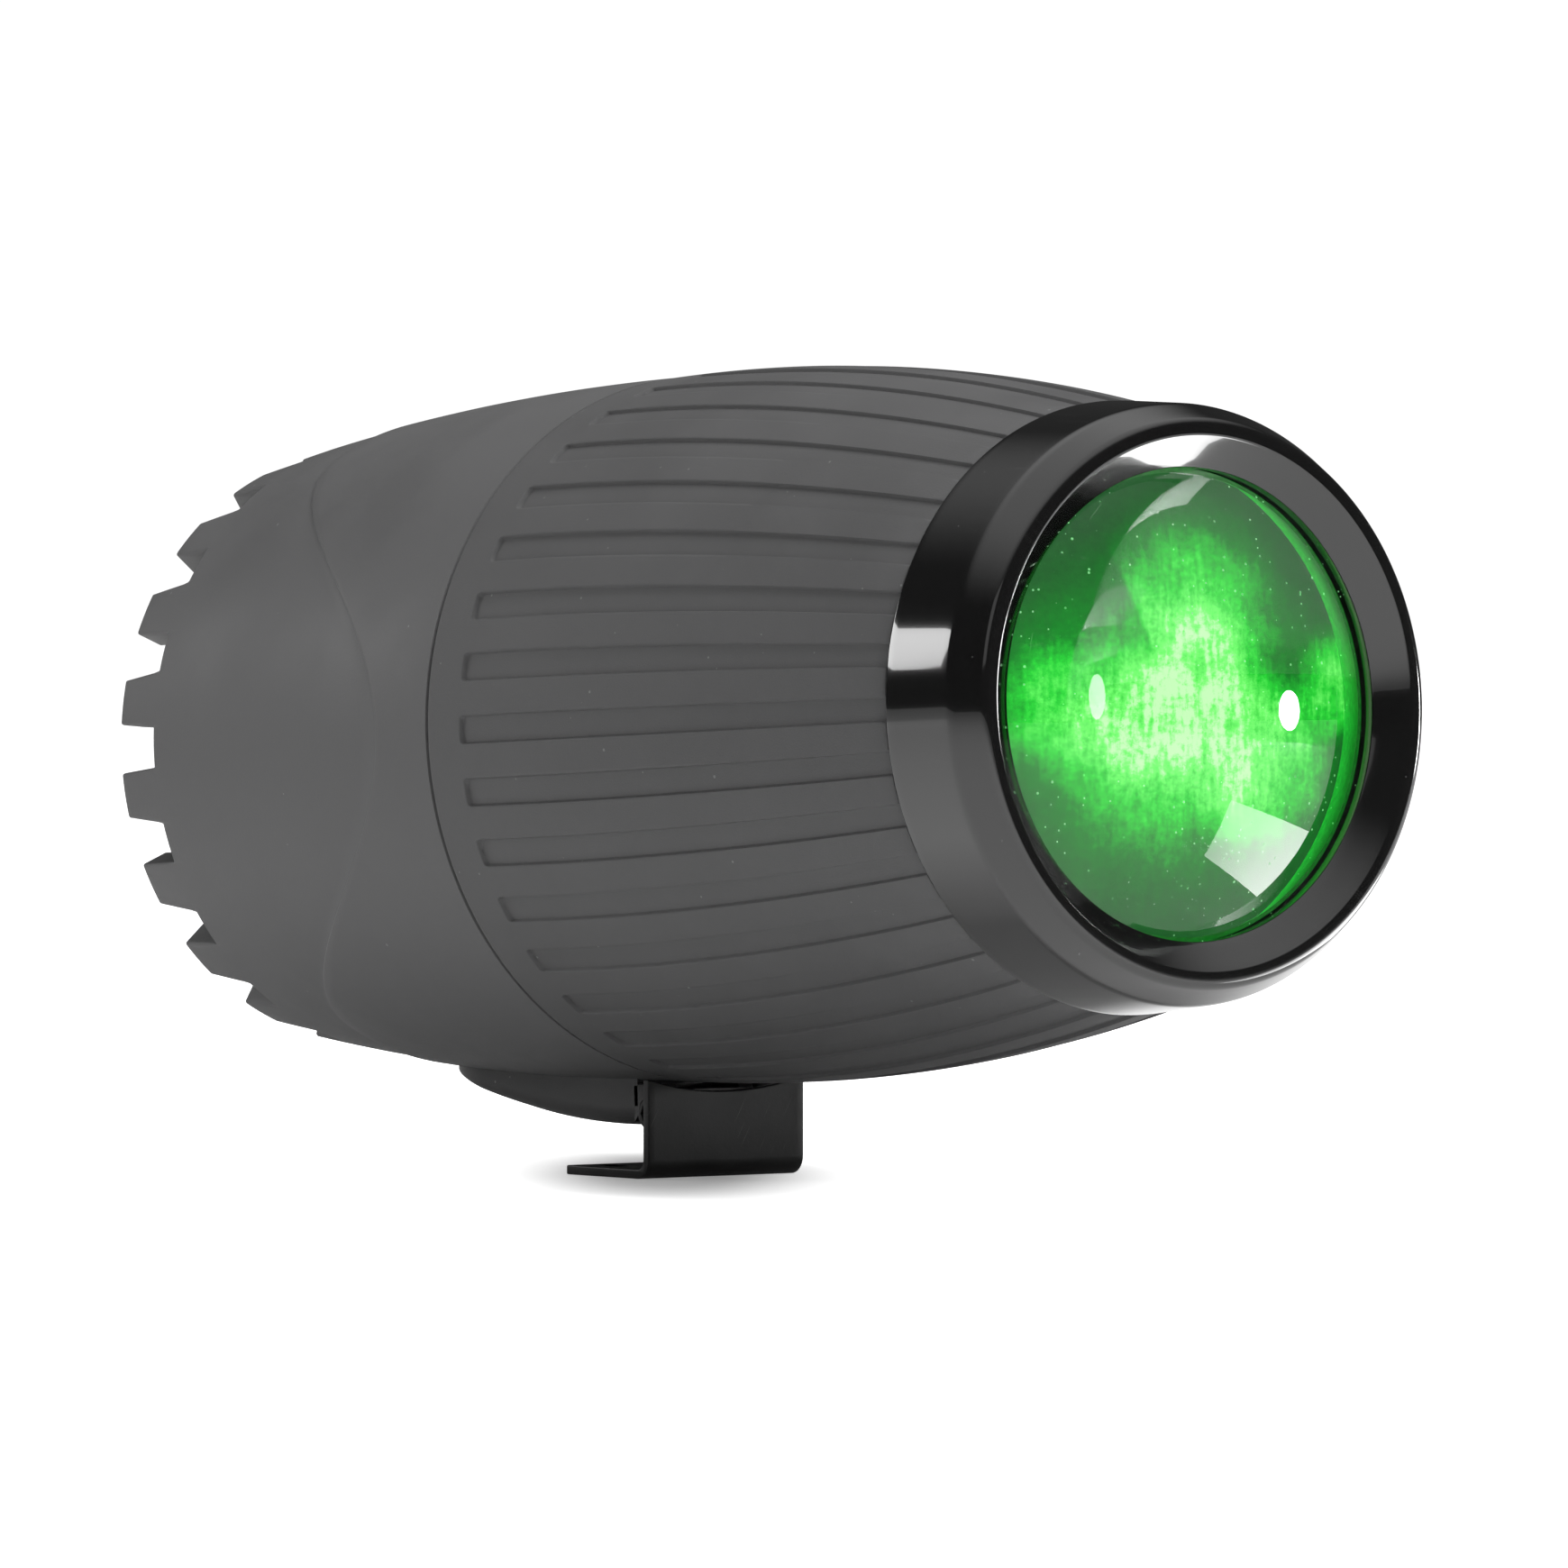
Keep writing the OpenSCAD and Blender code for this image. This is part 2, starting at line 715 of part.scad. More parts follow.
module friction_washers() {
    color([0.85, 0.83, 0.75]) on_pivot() for (x = [lug_half + rub, -lug_half - rub - washer_t])
        washer(x, washer_t, washer_r);
}

module knob_washer() {
    color("silver") on_pivot() washer(arm_half, knob_washer_t, knob_washer_r);
}

module tilt_knob() {
    color([0.06, 0.06, 0.06]) on_pivot() translate([0, 0, arm_half + knob_washer_t + rub]) difference() {
        cylinder(h = knob_w, r = knob_r);
        translate([0, 0, -1]) cylinder(h = knob_w, r = pivot_d / 2 + bolt_play);
        around(knob_flutes) translate([knob_r + knob_flute_r / 2, 0, -1])
            cylinder(h = knob_w + 2, r = knob_flute_r);
    }
}

module hinge_lug() {
    color([0.1, 0.1, 0.11]) difference() {
        foot_side(-lug_half, lug_half) {
            translate([hinge_s, pivot_z]) circle(nose_r);
            translate([hinge_s, pivot_z - nose_r]) square([web_back - hinge_s, 2 * nose_r]);
        }
        foot_side(-arm_half, arm_half) translate([hinge_s, pivot_z]) circle(pivot_d / 2 + bolt_play);
    }
}

// The web's top edge follows the body at a constant gap
module foot_bracket() {
    body_axis_z = pivot_z + pivot_drop;
    color([0.09, 0.09, 0.095]) difference() {
        foot_side(-bracket_w / 2, bracket_w / 2) {
            translate([foot_back, 0]) square([foot_len - bend_r, sheet]);
            translate([web_back, bend_r]) square([sheet, body_axis_z - seam_r]);
            difference() {
                translate([web_front - bend_r, bend_r]) circle(bend_r);
                translate([web_front - bend_r, bend_r]) circle(bend_r - sheet);
                translate([web_front - 3 * bend_r, bend_r]) square(3 * bend_r);
                translate([web_front - 3 * bend_r, -bend_r]) square([2 * bend_r, 3 * bend_r]);
            }
        }
        translate([0, 2 * body_r, body_axis_z]) rotate([90, 0, 0])
            cylinder(h = 4 * body_r, r = seam_r + web_gap, $fn = arc_fn);
        for (x = [-1, 1]) translate([x * foot_hole_gap / 2, 0, -1])
            cylinder(h = sheet + 2, r = foot_hole_d / 2);
    }
}

front_shell();
rear_shell();
rear_rim();
shell_seal();
shell_screws();
bezel_ring();
lens();
lens_gasket();
spacer_tube();
diffuser();
reflector();
led_emitters();
led_board();
thermal_pad();
led_board_screws();
led_wires();
heat_sink();
heat_sink_screws();
driver_board();
driver_parts();
driver_screws();
rear_cover();
rear_cover_gasket();
rear_cover_screws();
gland_body();
gland_locknut();
gland_seal();
gland_nut();
tilt_arm();
tilt_arm_screws();
pivot_bolt();
friction_washers();
knob_washer();
tilt_knob();
hinge_lug();
foot_bracket();
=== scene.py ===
# %% [markdown]
# # A barrel-shaped underwater spot lamp
# The lamp is two moulded half-barrels, a gloss black bezel with a thick glass lens, and a bent
# steel foot. Its solid parts come from the frame, in metres, with +Z up and the lens facing -Y.
# This lesson builds the surfaces that the eye lands on, one piece at a time, and gives every
# part a finish. Everything is placed from the frame, so nothing is fitted by eye.

# %% Load the frame
import json
import math

import bmesh
import bpy
import numpy as np
from mathutils import Matrix, Vector

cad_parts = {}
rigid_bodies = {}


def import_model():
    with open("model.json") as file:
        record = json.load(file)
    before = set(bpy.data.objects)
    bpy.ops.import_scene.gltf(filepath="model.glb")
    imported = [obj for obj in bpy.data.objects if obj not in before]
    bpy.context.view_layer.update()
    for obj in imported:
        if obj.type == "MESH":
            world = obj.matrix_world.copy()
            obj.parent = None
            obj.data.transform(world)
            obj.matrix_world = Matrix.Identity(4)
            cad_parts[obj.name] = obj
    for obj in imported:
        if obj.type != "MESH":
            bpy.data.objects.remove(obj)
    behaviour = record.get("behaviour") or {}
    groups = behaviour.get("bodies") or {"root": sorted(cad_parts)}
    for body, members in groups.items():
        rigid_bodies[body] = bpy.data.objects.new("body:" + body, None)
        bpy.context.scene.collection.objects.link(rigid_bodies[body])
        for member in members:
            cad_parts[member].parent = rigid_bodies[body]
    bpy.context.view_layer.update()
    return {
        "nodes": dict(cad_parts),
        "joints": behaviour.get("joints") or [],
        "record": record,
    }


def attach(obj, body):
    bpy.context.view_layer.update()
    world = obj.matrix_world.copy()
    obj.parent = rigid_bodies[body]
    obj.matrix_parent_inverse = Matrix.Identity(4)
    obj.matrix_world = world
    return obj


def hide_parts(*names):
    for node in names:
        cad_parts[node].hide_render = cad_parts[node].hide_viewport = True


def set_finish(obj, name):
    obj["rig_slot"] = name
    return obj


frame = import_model()
joints = {j["name"]: j for j in frame["joints"]}

# %% [markdown]
# ## The head's own axes
# The lamp looks slightly up, so its parts are drawn in a frame of their own: x across the lamp,
# y up and s forward along its axis, with s = 0 at the seam of the two shells. The bezel's hinge
# lies on that axis, so its direction and a known station on it give the whole frame. One
# function then carries an array of head points into the part's frame.

# %% Head frame
MM = 0.001
BEZEL_JOINT_S = 150.0
forward = np.array(joints["bezel_twist"]["axis"], float)
side = np.array([1.0, 0.0, 0.0])
up = np.cross(forward, side)
up /= np.linalg.norm(up)
seam = np.array(joints["bezel_twist"]["pos_m"], float) - BEZEL_JOINT_S * MM * forward
pivot = np.array(joints["head_tilt"]["pos_m"], float)
rest_tilt = math.degrees(math.asin(forward[2]))
print("rest tilt: %.2f degrees, seam centre %s" % (rest_tilt, np.round(seam, 4)))


def head_to_part(x, y, s):
    """Point = seam centre + x times side + y times up + s times forward, from mm to metres."""
    x, y, s = np.broadcast_arrays(x, y, s)
    return seam + MM * (x[..., None] * side + y[..., None] * up + s[..., None] * forward)


def foot_to_part(x, s, z):
    """Pieces fixed to the foot aren't tilted: s runs forward from the seam's foot, z is height."""
    x, s, z = np.broadcast_arrays(x, s, z)
    hole_s = pivot[1] / MM + PIVOT_S
    return MM * np.stack([x, hole_s - s, z], axis=-1)


# %% [markdown]
# ## Driving sizes
# These repeat the design's own sizes, in millimetres. The two bulge arcs are large circles that
# share their radius at the seam, which is what makes the barrel read as one smooth body.

# %% Sizes
BODY_R, CROWN_S = 75.2, 20.0
FRONT_ARC, REAR_ARC = 540.0, 870.0
FRONT_LEN, REAR_LEN = 138.0, 127.0
WALL, RIM_T = 3.0, 7.0
TOOTH_COUNT, TOOTH_LEN = 20, 16.0
GROOVE_COUNT, GROOVE_DEG, GROOVE_START = 36, 4.4, 12.0
BEZEL_R, APERTURE_R = 62.4, 47.8
PIVOT_S = -7.5


def front_r(s, inset=0.0):
    """Radius at station s of a circle of FRONT_ARC whose highest point is the crown."""
    return BODY_R - FRONT_ARC + np.sqrt((FRONT_ARC - inset) ** 2 - (s - CROWN_S) ** 2)


SEAM_R = float(front_r(0.0))


def rear_r(s, inset=0.0):
    """Radius at station s of a circle of REAR_ARC whose highest point is the seam."""
    return SEAM_R - REAR_ARC + np.sqrt((REAR_ARC - inset) ** 2 - s**2)


print("seam radius %.2f mm" % SEAM_R)

# %% [markdown]
# ## From a grid of points to a mesh
# Nearly every surface here is a grid: one direction runs along a profile, the other round the
# axis. Laying the faces out with index arrays takes no loop over vertices. Rows that shrink to
# a point, as at the middle of a lens, are merged afterwards, and the faces are then turned
# outwards.

# %% Mesh helpers
def finish_mesh(name, vertices, faces, body, slot, smooth_deg=40.0):
    """Makes the object, merges doubled points, turns faces outwards and shades smooth by angle."""
    mesh = bpy.data.meshes.new(name)
    mesh.from_pydata(vertices.reshape(-1, 3).tolist(), [], faces)
    work = bmesh.new()
    work.from_mesh(mesh)
    bmesh.ops.remove_doubles(work, verts=work.verts, dist=2e-6)
    bmesh.ops.dissolve_degenerate(work, edges=work.edges, dist=1e-6)
    bmesh.ops.recalc_face_normals(work, faces=work.faces)
    work.to_mesh(mesh)
    work.free()
    piece = bpy.data.objects.new(name, mesh)
    bpy.context.scene.collection.objects.link(piece)
    mesh.shade_smooth()
    mesh.set_sharp_from_angle(angle=math.radians(smooth_deg))
    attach(piece, body)
    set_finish(piece, slot)
    print("%s: %d faces" % (name, len(mesh.polygons)))
    return piece


def grid_faces(rows, columns, close_rows=True, close_columns=True):
    """Quads between neighbouring rows and columns; either direction may wrap round."""
    i = np.arange(rows if close_rows else rows - 1)
    j = np.arange(columns if close_columns else columns - 1)
    i, j = (a.ravel() for a in np.meshgrid(i, j, indexing="ij"))
    i2, j2 = (i + 1) % rows, (j + 1) % columns
    at = lambda a, b: a * columns + b
    return np.stack([at(i, j), at(i, j2), at(i2, j2), at(i2, j)], axis=1).tolist()


def rounded(points, radii, steps=5):
    """A closed outline with each corner replaced by an arc that touches both its sides.

    The arc's centre lies on the corner's bisector, and its ends are radius / tan(half angle)
    from the corner."""
    p = np.asarray(points, float)
    out = []
    for k, radius in enumerate(radii):
        if radius <= 0:
            out.append(p[k][None])
            continue
        a = p[k - 1] - p[k]
        b = p[(k + 1) % len(p)] - p[k]
        a /= np.linalg.norm(a)
        b /= np.linalg.norm(b)
        half = 0.5 * math.acos(float(np.clip(a @ b, -1, 1)))
        middle = (a + b) / np.linalg.norm(a + b)
        centre = p[k] + middle * radius / math.sin(half)
        start, end = p[k] + a * radius / math.tan(half), p[k] + b * radius / math.tan(half)
        u, v = start - centre, end - centre
        turn = math.pi - 2 * half
        t = np.linspace(0, 1, steps)[:, None]
        out.append(centre + (np.sin((1 - t) * turn) * u + np.sin(t * turn) * v) / math.sin(turn))
    return np.concatenate(out)


def revolve(name, profile, body, slot, columns):
    """A closed (radius, station) outline carried once round the head's axis."""
    phi = np.linspace(0, 2 * math.pi, columns, endpoint=False)
    r, s = profile[:, :1], profile[:, 1:]
    points = head_to_part(r * np.cos(phi), r * np.sin(phi), s + 0 * phi)
    return finish_mesh(name, points, grid_faces(*points.shape[:2]), body, slot)


def smoothstep(x, low, high):
    """0 below low, 1 above high, and 3t^2 - 2t^3 between."""
    t = np.clip((x - low) / (high - low), 0, 1)
    return t * t * (3 - 2 * t)


# %% [markdown]
# ## The front shell
# The moulding has thirty-six long sunk panels that run out through its front edge. They could
# be cut with a boolean, but a cut leaves long thin faces that shade badly on a bulging surface.
# Here the panels are part of the surface's formula: the radius is the barrel's arc less a
# depth, and the depth is the product of a plateau round the axis and a ramp along it. The
# grid's columns crowd together at the panel walls, so the walls stay crisp.

# %% Front shell
GROOVE_DEPTH, GROOVE_CORNER, GROOVE_WALL = 0.8, 1.2, 0.30
SEAM_LIP, FRONT_LIP = 0.4, 0.3
NECK_IN = APERTURE_R - 0.1
NECK_R, LENS_R = NECK_IN + 8.5, NECK_IN + 3.0
LEDGE_S, NECK_END = 150.0, 156.2


def groove_columns():
    """Angles of the columns, in degrees: dense across both walls of each groove."""
    half, wall = GROOVE_DEG / 2, GROOVE_WALL
    across = np.array([-5.0, -4.2, -3.2, -2.7])
    ramp = np.linspace(-half - wall / 2, -half + wall / 2, 5)
    left = np.concatenate([across, ramp, [-1.6, -0.8]])
    pitch = np.concatenate([left, [0.0], -left[:0:-1]]) * (360.0 / GROOVE_COUNT / 10.0)
    return (np.arange(GROOVE_COUNT)[:, None] * 360.0 / GROOVE_COUNT + pitch).ravel()


def groove_depth(phi_deg, s):
    """Depth = full depth x plateau across the groove x ramp at its rear end, with round corners.

    The distance to the groove's edge is that to a rounded rectangle, so the ends are round."""
    pitch = 360.0 / GROOVE_COUNT
    offset = np.abs((phi_deg + pitch / 2) % pitch - pitch / 2)
    radius = np.radians(1.0) * front_r(s)
    across = (offset - GROOVE_DEG / 2) * radius
    along = GROOVE_START - s
    a, b = np.maximum(across + GROOVE_CORNER, 0), np.maximum(along + GROOVE_CORNER, 0)
    distance = np.hypot(a, b) + np.minimum(np.maximum(across, along) + GROOVE_CORNER, 0) - GROOVE_CORNER
    return GROOVE_DEPTH * (1 - smoothstep(distance, -0.25, 0.20))


def make_front_shell():
    """Outer skin from the seam forward, over the neck, and back along the inner wall."""
    phi = groove_columns()
    s_out = np.concatenate([
        [0.0, 0.12, 0.25, SEAM_LIP, 0.8, 3.0, 6.0, 9.0], np.arange(11.0, 14.6, 0.3),
        np.linspace(16, FRONT_LEN - 0.8, 44), [FRONT_LEN - 0.45, FRONT_LEN - 0.2]])
    lip = (SEAM_LIP * (1 - smoothstep(s_out, 0, SEAM_LIP))
           + FRONT_LIP * smoothstep(s_out, FRONT_LEN - 0.8, FRONT_LEN - 0.2))
    outer = (front_r(s_out) - lip)[:, None] - groove_depth(phi[None, :], s_out[:, None])
    inner = np.array([
        [NECK_R, FRONT_LEN], [NECK_R, NECK_END - 0.5], [NECK_R - 0.5, NECK_END],
        [LENS_R + 0.3, NECK_END], [LENS_R + 0.3, LEDGE_S], [NECK_IN, LEDGE_S],
        [NECK_IN, FRONT_LEN - WALL], [float(front_r(FRONT_LEN - WALL, WALL)), FRONT_LEN - WALL]])
    s_in = np.linspace(FRONT_LEN - WALL, 0.0, 20)[1:]
    inner = np.concatenate([inner, np.stack([front_r(s_in, WALL), s_in], axis=1)])
    r = np.concatenate([outer, np.repeat(inner[:, :1], len(phi), axis=1)])
    s = np.concatenate([s_out, inner[:, 1]])[:, None] + 0 * r
    a = np.radians(phi)[None, :]
    points = head_to_part(r * np.cos(a), r * np.sin(a), s)
    piece = finish_mesh("front_shell_moulding", points, grid_faces(*r.shape), "head",
                        "front_shell_plastic", smooth_deg=50)
    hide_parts("front_shell")


make_front_shell()

# %% [markdown]
# ## The rear shell
# Two features make this shell: a skin step that waves along each flank, and the castellated
# rim. For the step the grid's rows are warped to follow the wave, so its edge is a clean line
# however fine or coarse the grid is. For the rim each column knows whether it lies on a tooth
# or in a gap. Tooth columns run out to the tip and back, gap columns stay on the gap's floor,
# and the faces between the two kinds of column become the teeth's side walls.

# %% Rear shell
STEP_DEPTH, STEP_W = 0.5, 0.9
TOOTH_HALF_BASE, TOOTH_HALF_TIP = 5.3, 4.35
TOOTH_ROUND = 0.7
GAP_S = -(REAR_LEN - TOOTH_LEN)
FLANGE_S, FLANGE_T, FLANGE_IN = -98.0, 4.0, 50.0
COVER_BACK = -102.0
STEP_MIDDLE, STEP_SWING, STEP_REACH = -53, 34, 64
SEAM_LINE, FIRST_ROW = 1.0, -0.8


def step_station(phi_deg):
    """Where the skin step lies: a cosine wave over each flank, and a straight band elsewhere."""
    from_side = np.abs((phi_deg + 90) % 180 - 90)
    return STEP_MIDDLE + STEP_SWING * np.cos(math.pi * np.minimum(from_side, STEP_REACH) / STEP_REACH)


def tooth_columns():
    """Share across the tooth (-1 to 1), or nan in a gap, with each column's angle at the base."""
    share = np.array([-1, -0.975, -0.93, -0.87, -0.6, -0.2, 0.2, 0.6, 0.87, 0.93, 0.975, 1])
    pitch = 360.0 / TOOTH_COUNT
    gap = np.linspace(TOOTH_HALF_BASE, pitch - TOOTH_HALF_BASE, 9)
    share = np.concatenate([share, np.full(len(gap), np.nan)])
    angle = np.concatenate([share[:12] * TOOTH_HALF_BASE, gap])
    first = pitch / 2
    angle = (first + np.arange(TOOTH_COUNT)[:, None] * pitch + angle).ravel()
    return np.tile(share, TOOTH_COUNT), angle


def make_rear_shell():
    """Rows: seam to the step, across it, on to the teeth's roots, round the teeth, back inside.

    The first rows lie deeper, so that the joint between the shells reads as a dark line."""
    share, phi = tooth_columns()
    on_tooth = ~np.isnan(share)
    edge = step_station(phi)
    t_front = np.linspace(0, 1, 26)[:, None] ** 1.1
    t_step = np.linspace(0.5, -0.5, 6)[:, None]
    t_back = np.linspace(0, 1, 18)[1:, None]
    seam_rows = np.array([0.0, -0.35, -0.45, -0.55, -0.65])
    s = np.concatenate([
        seam_rows[:, None] + 0 * phi,
        FIRST_ROW + t_front * (edge + STEP_W / 2 - FIRST_ROW)[None, :],
        edge[None, :] + STEP_W * t_step[1:],
        (edge - STEP_W / 2)[None, :] + t_back * (GAP_S + STEP_W / 2 - edge)[None, :]])
    sunk = STEP_DEPTH * smoothstep(edge[None, :] - s, -STEP_W / 2, STEP_W / 2)
    seam_line = SEAM_LINE * (1 - smoothstep(-s, 0.35, 0.65))
    r = rear_r(s) - sunk - seam_line
    a = np.broadcast_to(phi, r.shape)
    # round the teeth: out along the tooth, over the tip and back along its inner face
    out_s = np.linspace(0.6, TOOTH_LEN - TOOTH_ROUND, 8)
    bend = np.radians(np.linspace(15, 90, 5))
    u = np.concatenate([out_s, TOOTH_LEN - TOOTH_ROUND * (1 - np.sin(bend))])
    cut = np.concatenate([0 * out_s, TOOTH_ROUND * (1 - np.cos(bend))])
    u, inward = np.concatenate([u, u[::-1]]), np.concatenate([cut, RIM_T - cut[::-1]])
    width = np.radians(TOOTH_HALF_BASE) * 66.0
    side_cut = np.clip((np.abs(np.nan_to_num(share)) * width - (width - TOOTH_ROUND)) / TOOTH_ROUND, 0, 1)
    side_cut = TOOTH_ROUND * (1 - np.sqrt(1 - side_cut**2))
    fade = smoothstep(u, 0, 1.5)[:, None]
    facing = np.where(np.arange(len(u)) < len(u) // 2, 1, -1)[:, None]
    tip_u = np.minimum(u[:, None], TOOTH_LEN - side_cut[None, :] * fade)
    tooth_s = GAP_S - tip_u
    tooth_r = rear_r(tooth_s) - STEP_DEPTH - inward[:, None] - facing * side_cut[None, :] * fade
    half = TOOTH_HALF_BASE + (TOOTH_HALF_TIP - TOOTH_HALF_BASE) * tip_u / TOOTH_LEN
    centre = phi - np.nan_to_num(share) * TOOTH_HALF_BASE
    tooth_a = centre[None, :] + np.nan_to_num(share)[None, :] * half
    floor_t = np.linspace(0, 1, len(u) + 2)[1:-1, None]
    floor_r = rear_r(GAP_S) - STEP_DEPTH - floor_t * RIM_T
    mask = on_tooth[None, :]
    rim_r = np.where(mask, tooth_r, floor_r)
    rim_s = np.where(mask, tooth_s, GAP_S)
    rim_a = np.where(mask, tooth_a, phi[None, :])
    s_in = np.array([GAP_S, -105.0, FLANGE_S])
    inner = [np.stack([rear_r(s_in) - STEP_DEPTH - RIM_T, s_in], axis=1),
             [[FLANGE_IN, FLANGE_S], [FLANGE_IN, FLANGE_S + FLANGE_T],
              [float(rear_r(FLANGE_S + FLANGE_T, WALL)), FLANGE_S + FLANGE_T]]]
    s_wall = np.linspace(FLANGE_S + FLANGE_T, 0, 14)[1:]
    inner.append(np.stack([rear_r(s_wall, WALL), s_wall], axis=1))
    inner = np.concatenate(inner)
    ones = np.ones((1, len(phi)))
    r = np.concatenate([r, rim_r, inner[:, :1] * ones])
    s = np.concatenate([s, rim_s, inner[:, 1:] * ones])
    a = np.radians(np.concatenate([a, rim_a, phi * np.ones((len(inner), 1))]))
    points = head_to_part(r * np.cos(a), r * np.sin(a), s)
    piece = finish_mesh("rear_shell_moulding", points, grid_faces(*r.shape), "head",
                        "rear_shell_plastic", smooth_deg=35)
    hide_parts("rear_shell", "rear_rim")


make_rear_shell()

# %% [markdown]
# ## The bezel
# A gloss black ring shows its shape only through what it reflects, so its outline matters more
# than its colour: a slightly tapering side band, a soft shoulder, a narrow flat crest and a
# chamfer that falls to the lens. Rounded corners of different sizes give wide and narrow
# highlights.

# %% Bezel
def make_bezel():
    """The ring's closed outline, with each corner rounded, carried round the axis."""
    bore = NECK_R + 0.3
    outline = [[BEZEL_R, 138.3], [BEZEL_R - 1.5, 157.0], [BEZEL_R - 5.3, 164.0], [BEZEL_R - 8.3, 164.0],
               [APERTURE_R, 159.0], [APERTURE_R, 156.8], [bore, 156.8], [bore, 138.3]]
    radii = [0.5, 5.5, 2.2, 1.0, 0.5, 0.2, 0.2, 0.3]
    profile = rounded(outline, radii, steps=9)
    dense = [profile[0]]
    for a, b in zip(profile, np.roll(profile, -1, axis=0)):
        count = max(1, int(np.linalg.norm(b - a) / 1.5))
        dense.extend(a + (b - a) * (k + 1) / count for k in range(count))
    piece = revolve("bezel_gloss_ring", np.array(dense[:-1]), "bezel", "bezel_gloss", 256)
    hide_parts("bezel_ring")


make_bezel()

# %% [markdown]
# ## The lens
# A plano-convex glass: flat behind, a spherical cap in front, with a short cylindrical edge
# that sits in the seal. The cap's rows are spaced evenly in angle, which keeps its curvature,
# and so its reflections, even right up to the pole.

# %% Lens
LENS_BACK, LENS_FRONT, DOME_R, DOME_RIM = 151.5, 156.5, 98.0, APERTURE_R - 0.5


def make_lens():
    """Rows from the middle of the back, round the edge, and over the cap to its pole."""
    centre = LENS_FRONT - math.sqrt(DOME_R**2 - DOME_RIM**2)
    angle = np.linspace(math.asin(DOME_RIM / DOME_R), 0, 40)
    cap = np.stack([DOME_R * np.sin(angle), centre + DOME_R * np.cos(angle)], axis=1)
    back_r = np.linspace(0, LENS_R - 0.4, 14)
    back = np.stack([back_r, np.full(14, LENS_BACK)], axis=1)
    edge = np.array([[LENS_R, LENS_BACK + 0.4], [LENS_R, LENS_FRONT - 0.4], [LENS_R - 0.4, LENS_FRONT]])
    profile = np.concatenate([back, edge, cap])
    phi = np.linspace(0, 2 * math.pi, 192, endpoint=False)
    r, s = profile[:, :1], profile[:, 1:] + 0 * phi
    points = head_to_part(r * np.cos(phi), r * np.sin(phi), s)
    faces = grid_faces(*points.shape[:2], close_rows=False)
    piece = finish_mesh("lens_glass_cap", points, faces, "head", "lens_glass", smooth_deg=30)
    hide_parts("lens")


make_lens()

# %% [markdown]
# ## The tilt arm
# Under the rear shell a slim keel carries the hinge. Its underside is one long arc, its lower
# edges are well rounded, and it dies away towards the rear. A section is swept along the lamp:
# the section's top follows the barrel, so the arm sits on the shell with no gap. Two cheeks at
# its front hold the pivot bolt, and are flat plates with softened edges.

# %% Outline plates
def outline_normals(outline):
    """Outward normal at each point of a closed outline, from the direction of its neighbours."""
    ahead, behind = np.roll(outline, -1, axis=0), np.roll(outline, 1, axis=0)
    along = ahead - behind
    normal = np.stack([along[:, 1], -along[:, 0]], axis=1)
    normal /= np.linalg.norm(normal, axis=1, keepdims=True)
    area = 0.5 * np.sum(outline[:, 0] * np.roll(outline[:, 1], -1) - np.roll(outline[:, 0], -1) * outline[:, 1])
    return normal * (1 if area > 0 else -1)


def plate_rows(outline, x0, x1, edge):
    """Outline carried from x0 to x1; near both ends it shrinks by a quarter circle of size edge."""
    a = np.linspace(0, math.pi / 2, 4)
    inset = np.concatenate([edge * (1 - np.sin(a)), edge * (1 - np.sin(a[::-1]))])
    x = np.concatenate([x0 + edge * (1 - np.cos(a)), x1 - edge * (1 - np.cos(a[::-1]))])
    rows = outline[None] - inset[:, None, None] * outline_normals(outline)[None]
    return x, rows


def plate_faces(rows, columns, first=0):
    """Side quads of a stack of outlines, and one face over each end."""
    faces = [[first + v for v in f] for f in grid_faces(rows, columns, close_rows=False)]
    faces.append([first + k for k in range(columns)])
    faces.append([first + (rows - 1) * columns + k for k in range(columns)])
    return faces


# %% Tilt arm
ARM_HALF, SLOT_HALF, ARM_DEPTH = 12.0, 8.0, 8.7
ARM_LOW_S, ARM_BACK, SLOT_BACK = PIVOT_S - 7.0, -85.6, PIVOT_S - 6.2
PIVOT_DROP = SEAM_R + 6.2
NOSE_R = 5.2
ARM_RUN, ARM_RISE = ARM_LOW_S - ARM_BACK, ARM_DEPTH + SEAM_R - float(rear_r(ARM_BACK)) - 0.3
ARM_ARC = (ARM_RUN**2 + ARM_RISE**2) / (2 * ARM_RISE)


def arm_floor(s):
    """Height of the arm's underside: an arc, lowest at ARM_LOW_S, that meets the shell at its end."""
    return -(SEAM_R + ARM_DEPTH) + ARM_ARC - np.sqrt(ARM_ARC**2 - (s - ARM_LOW_S) ** 2)


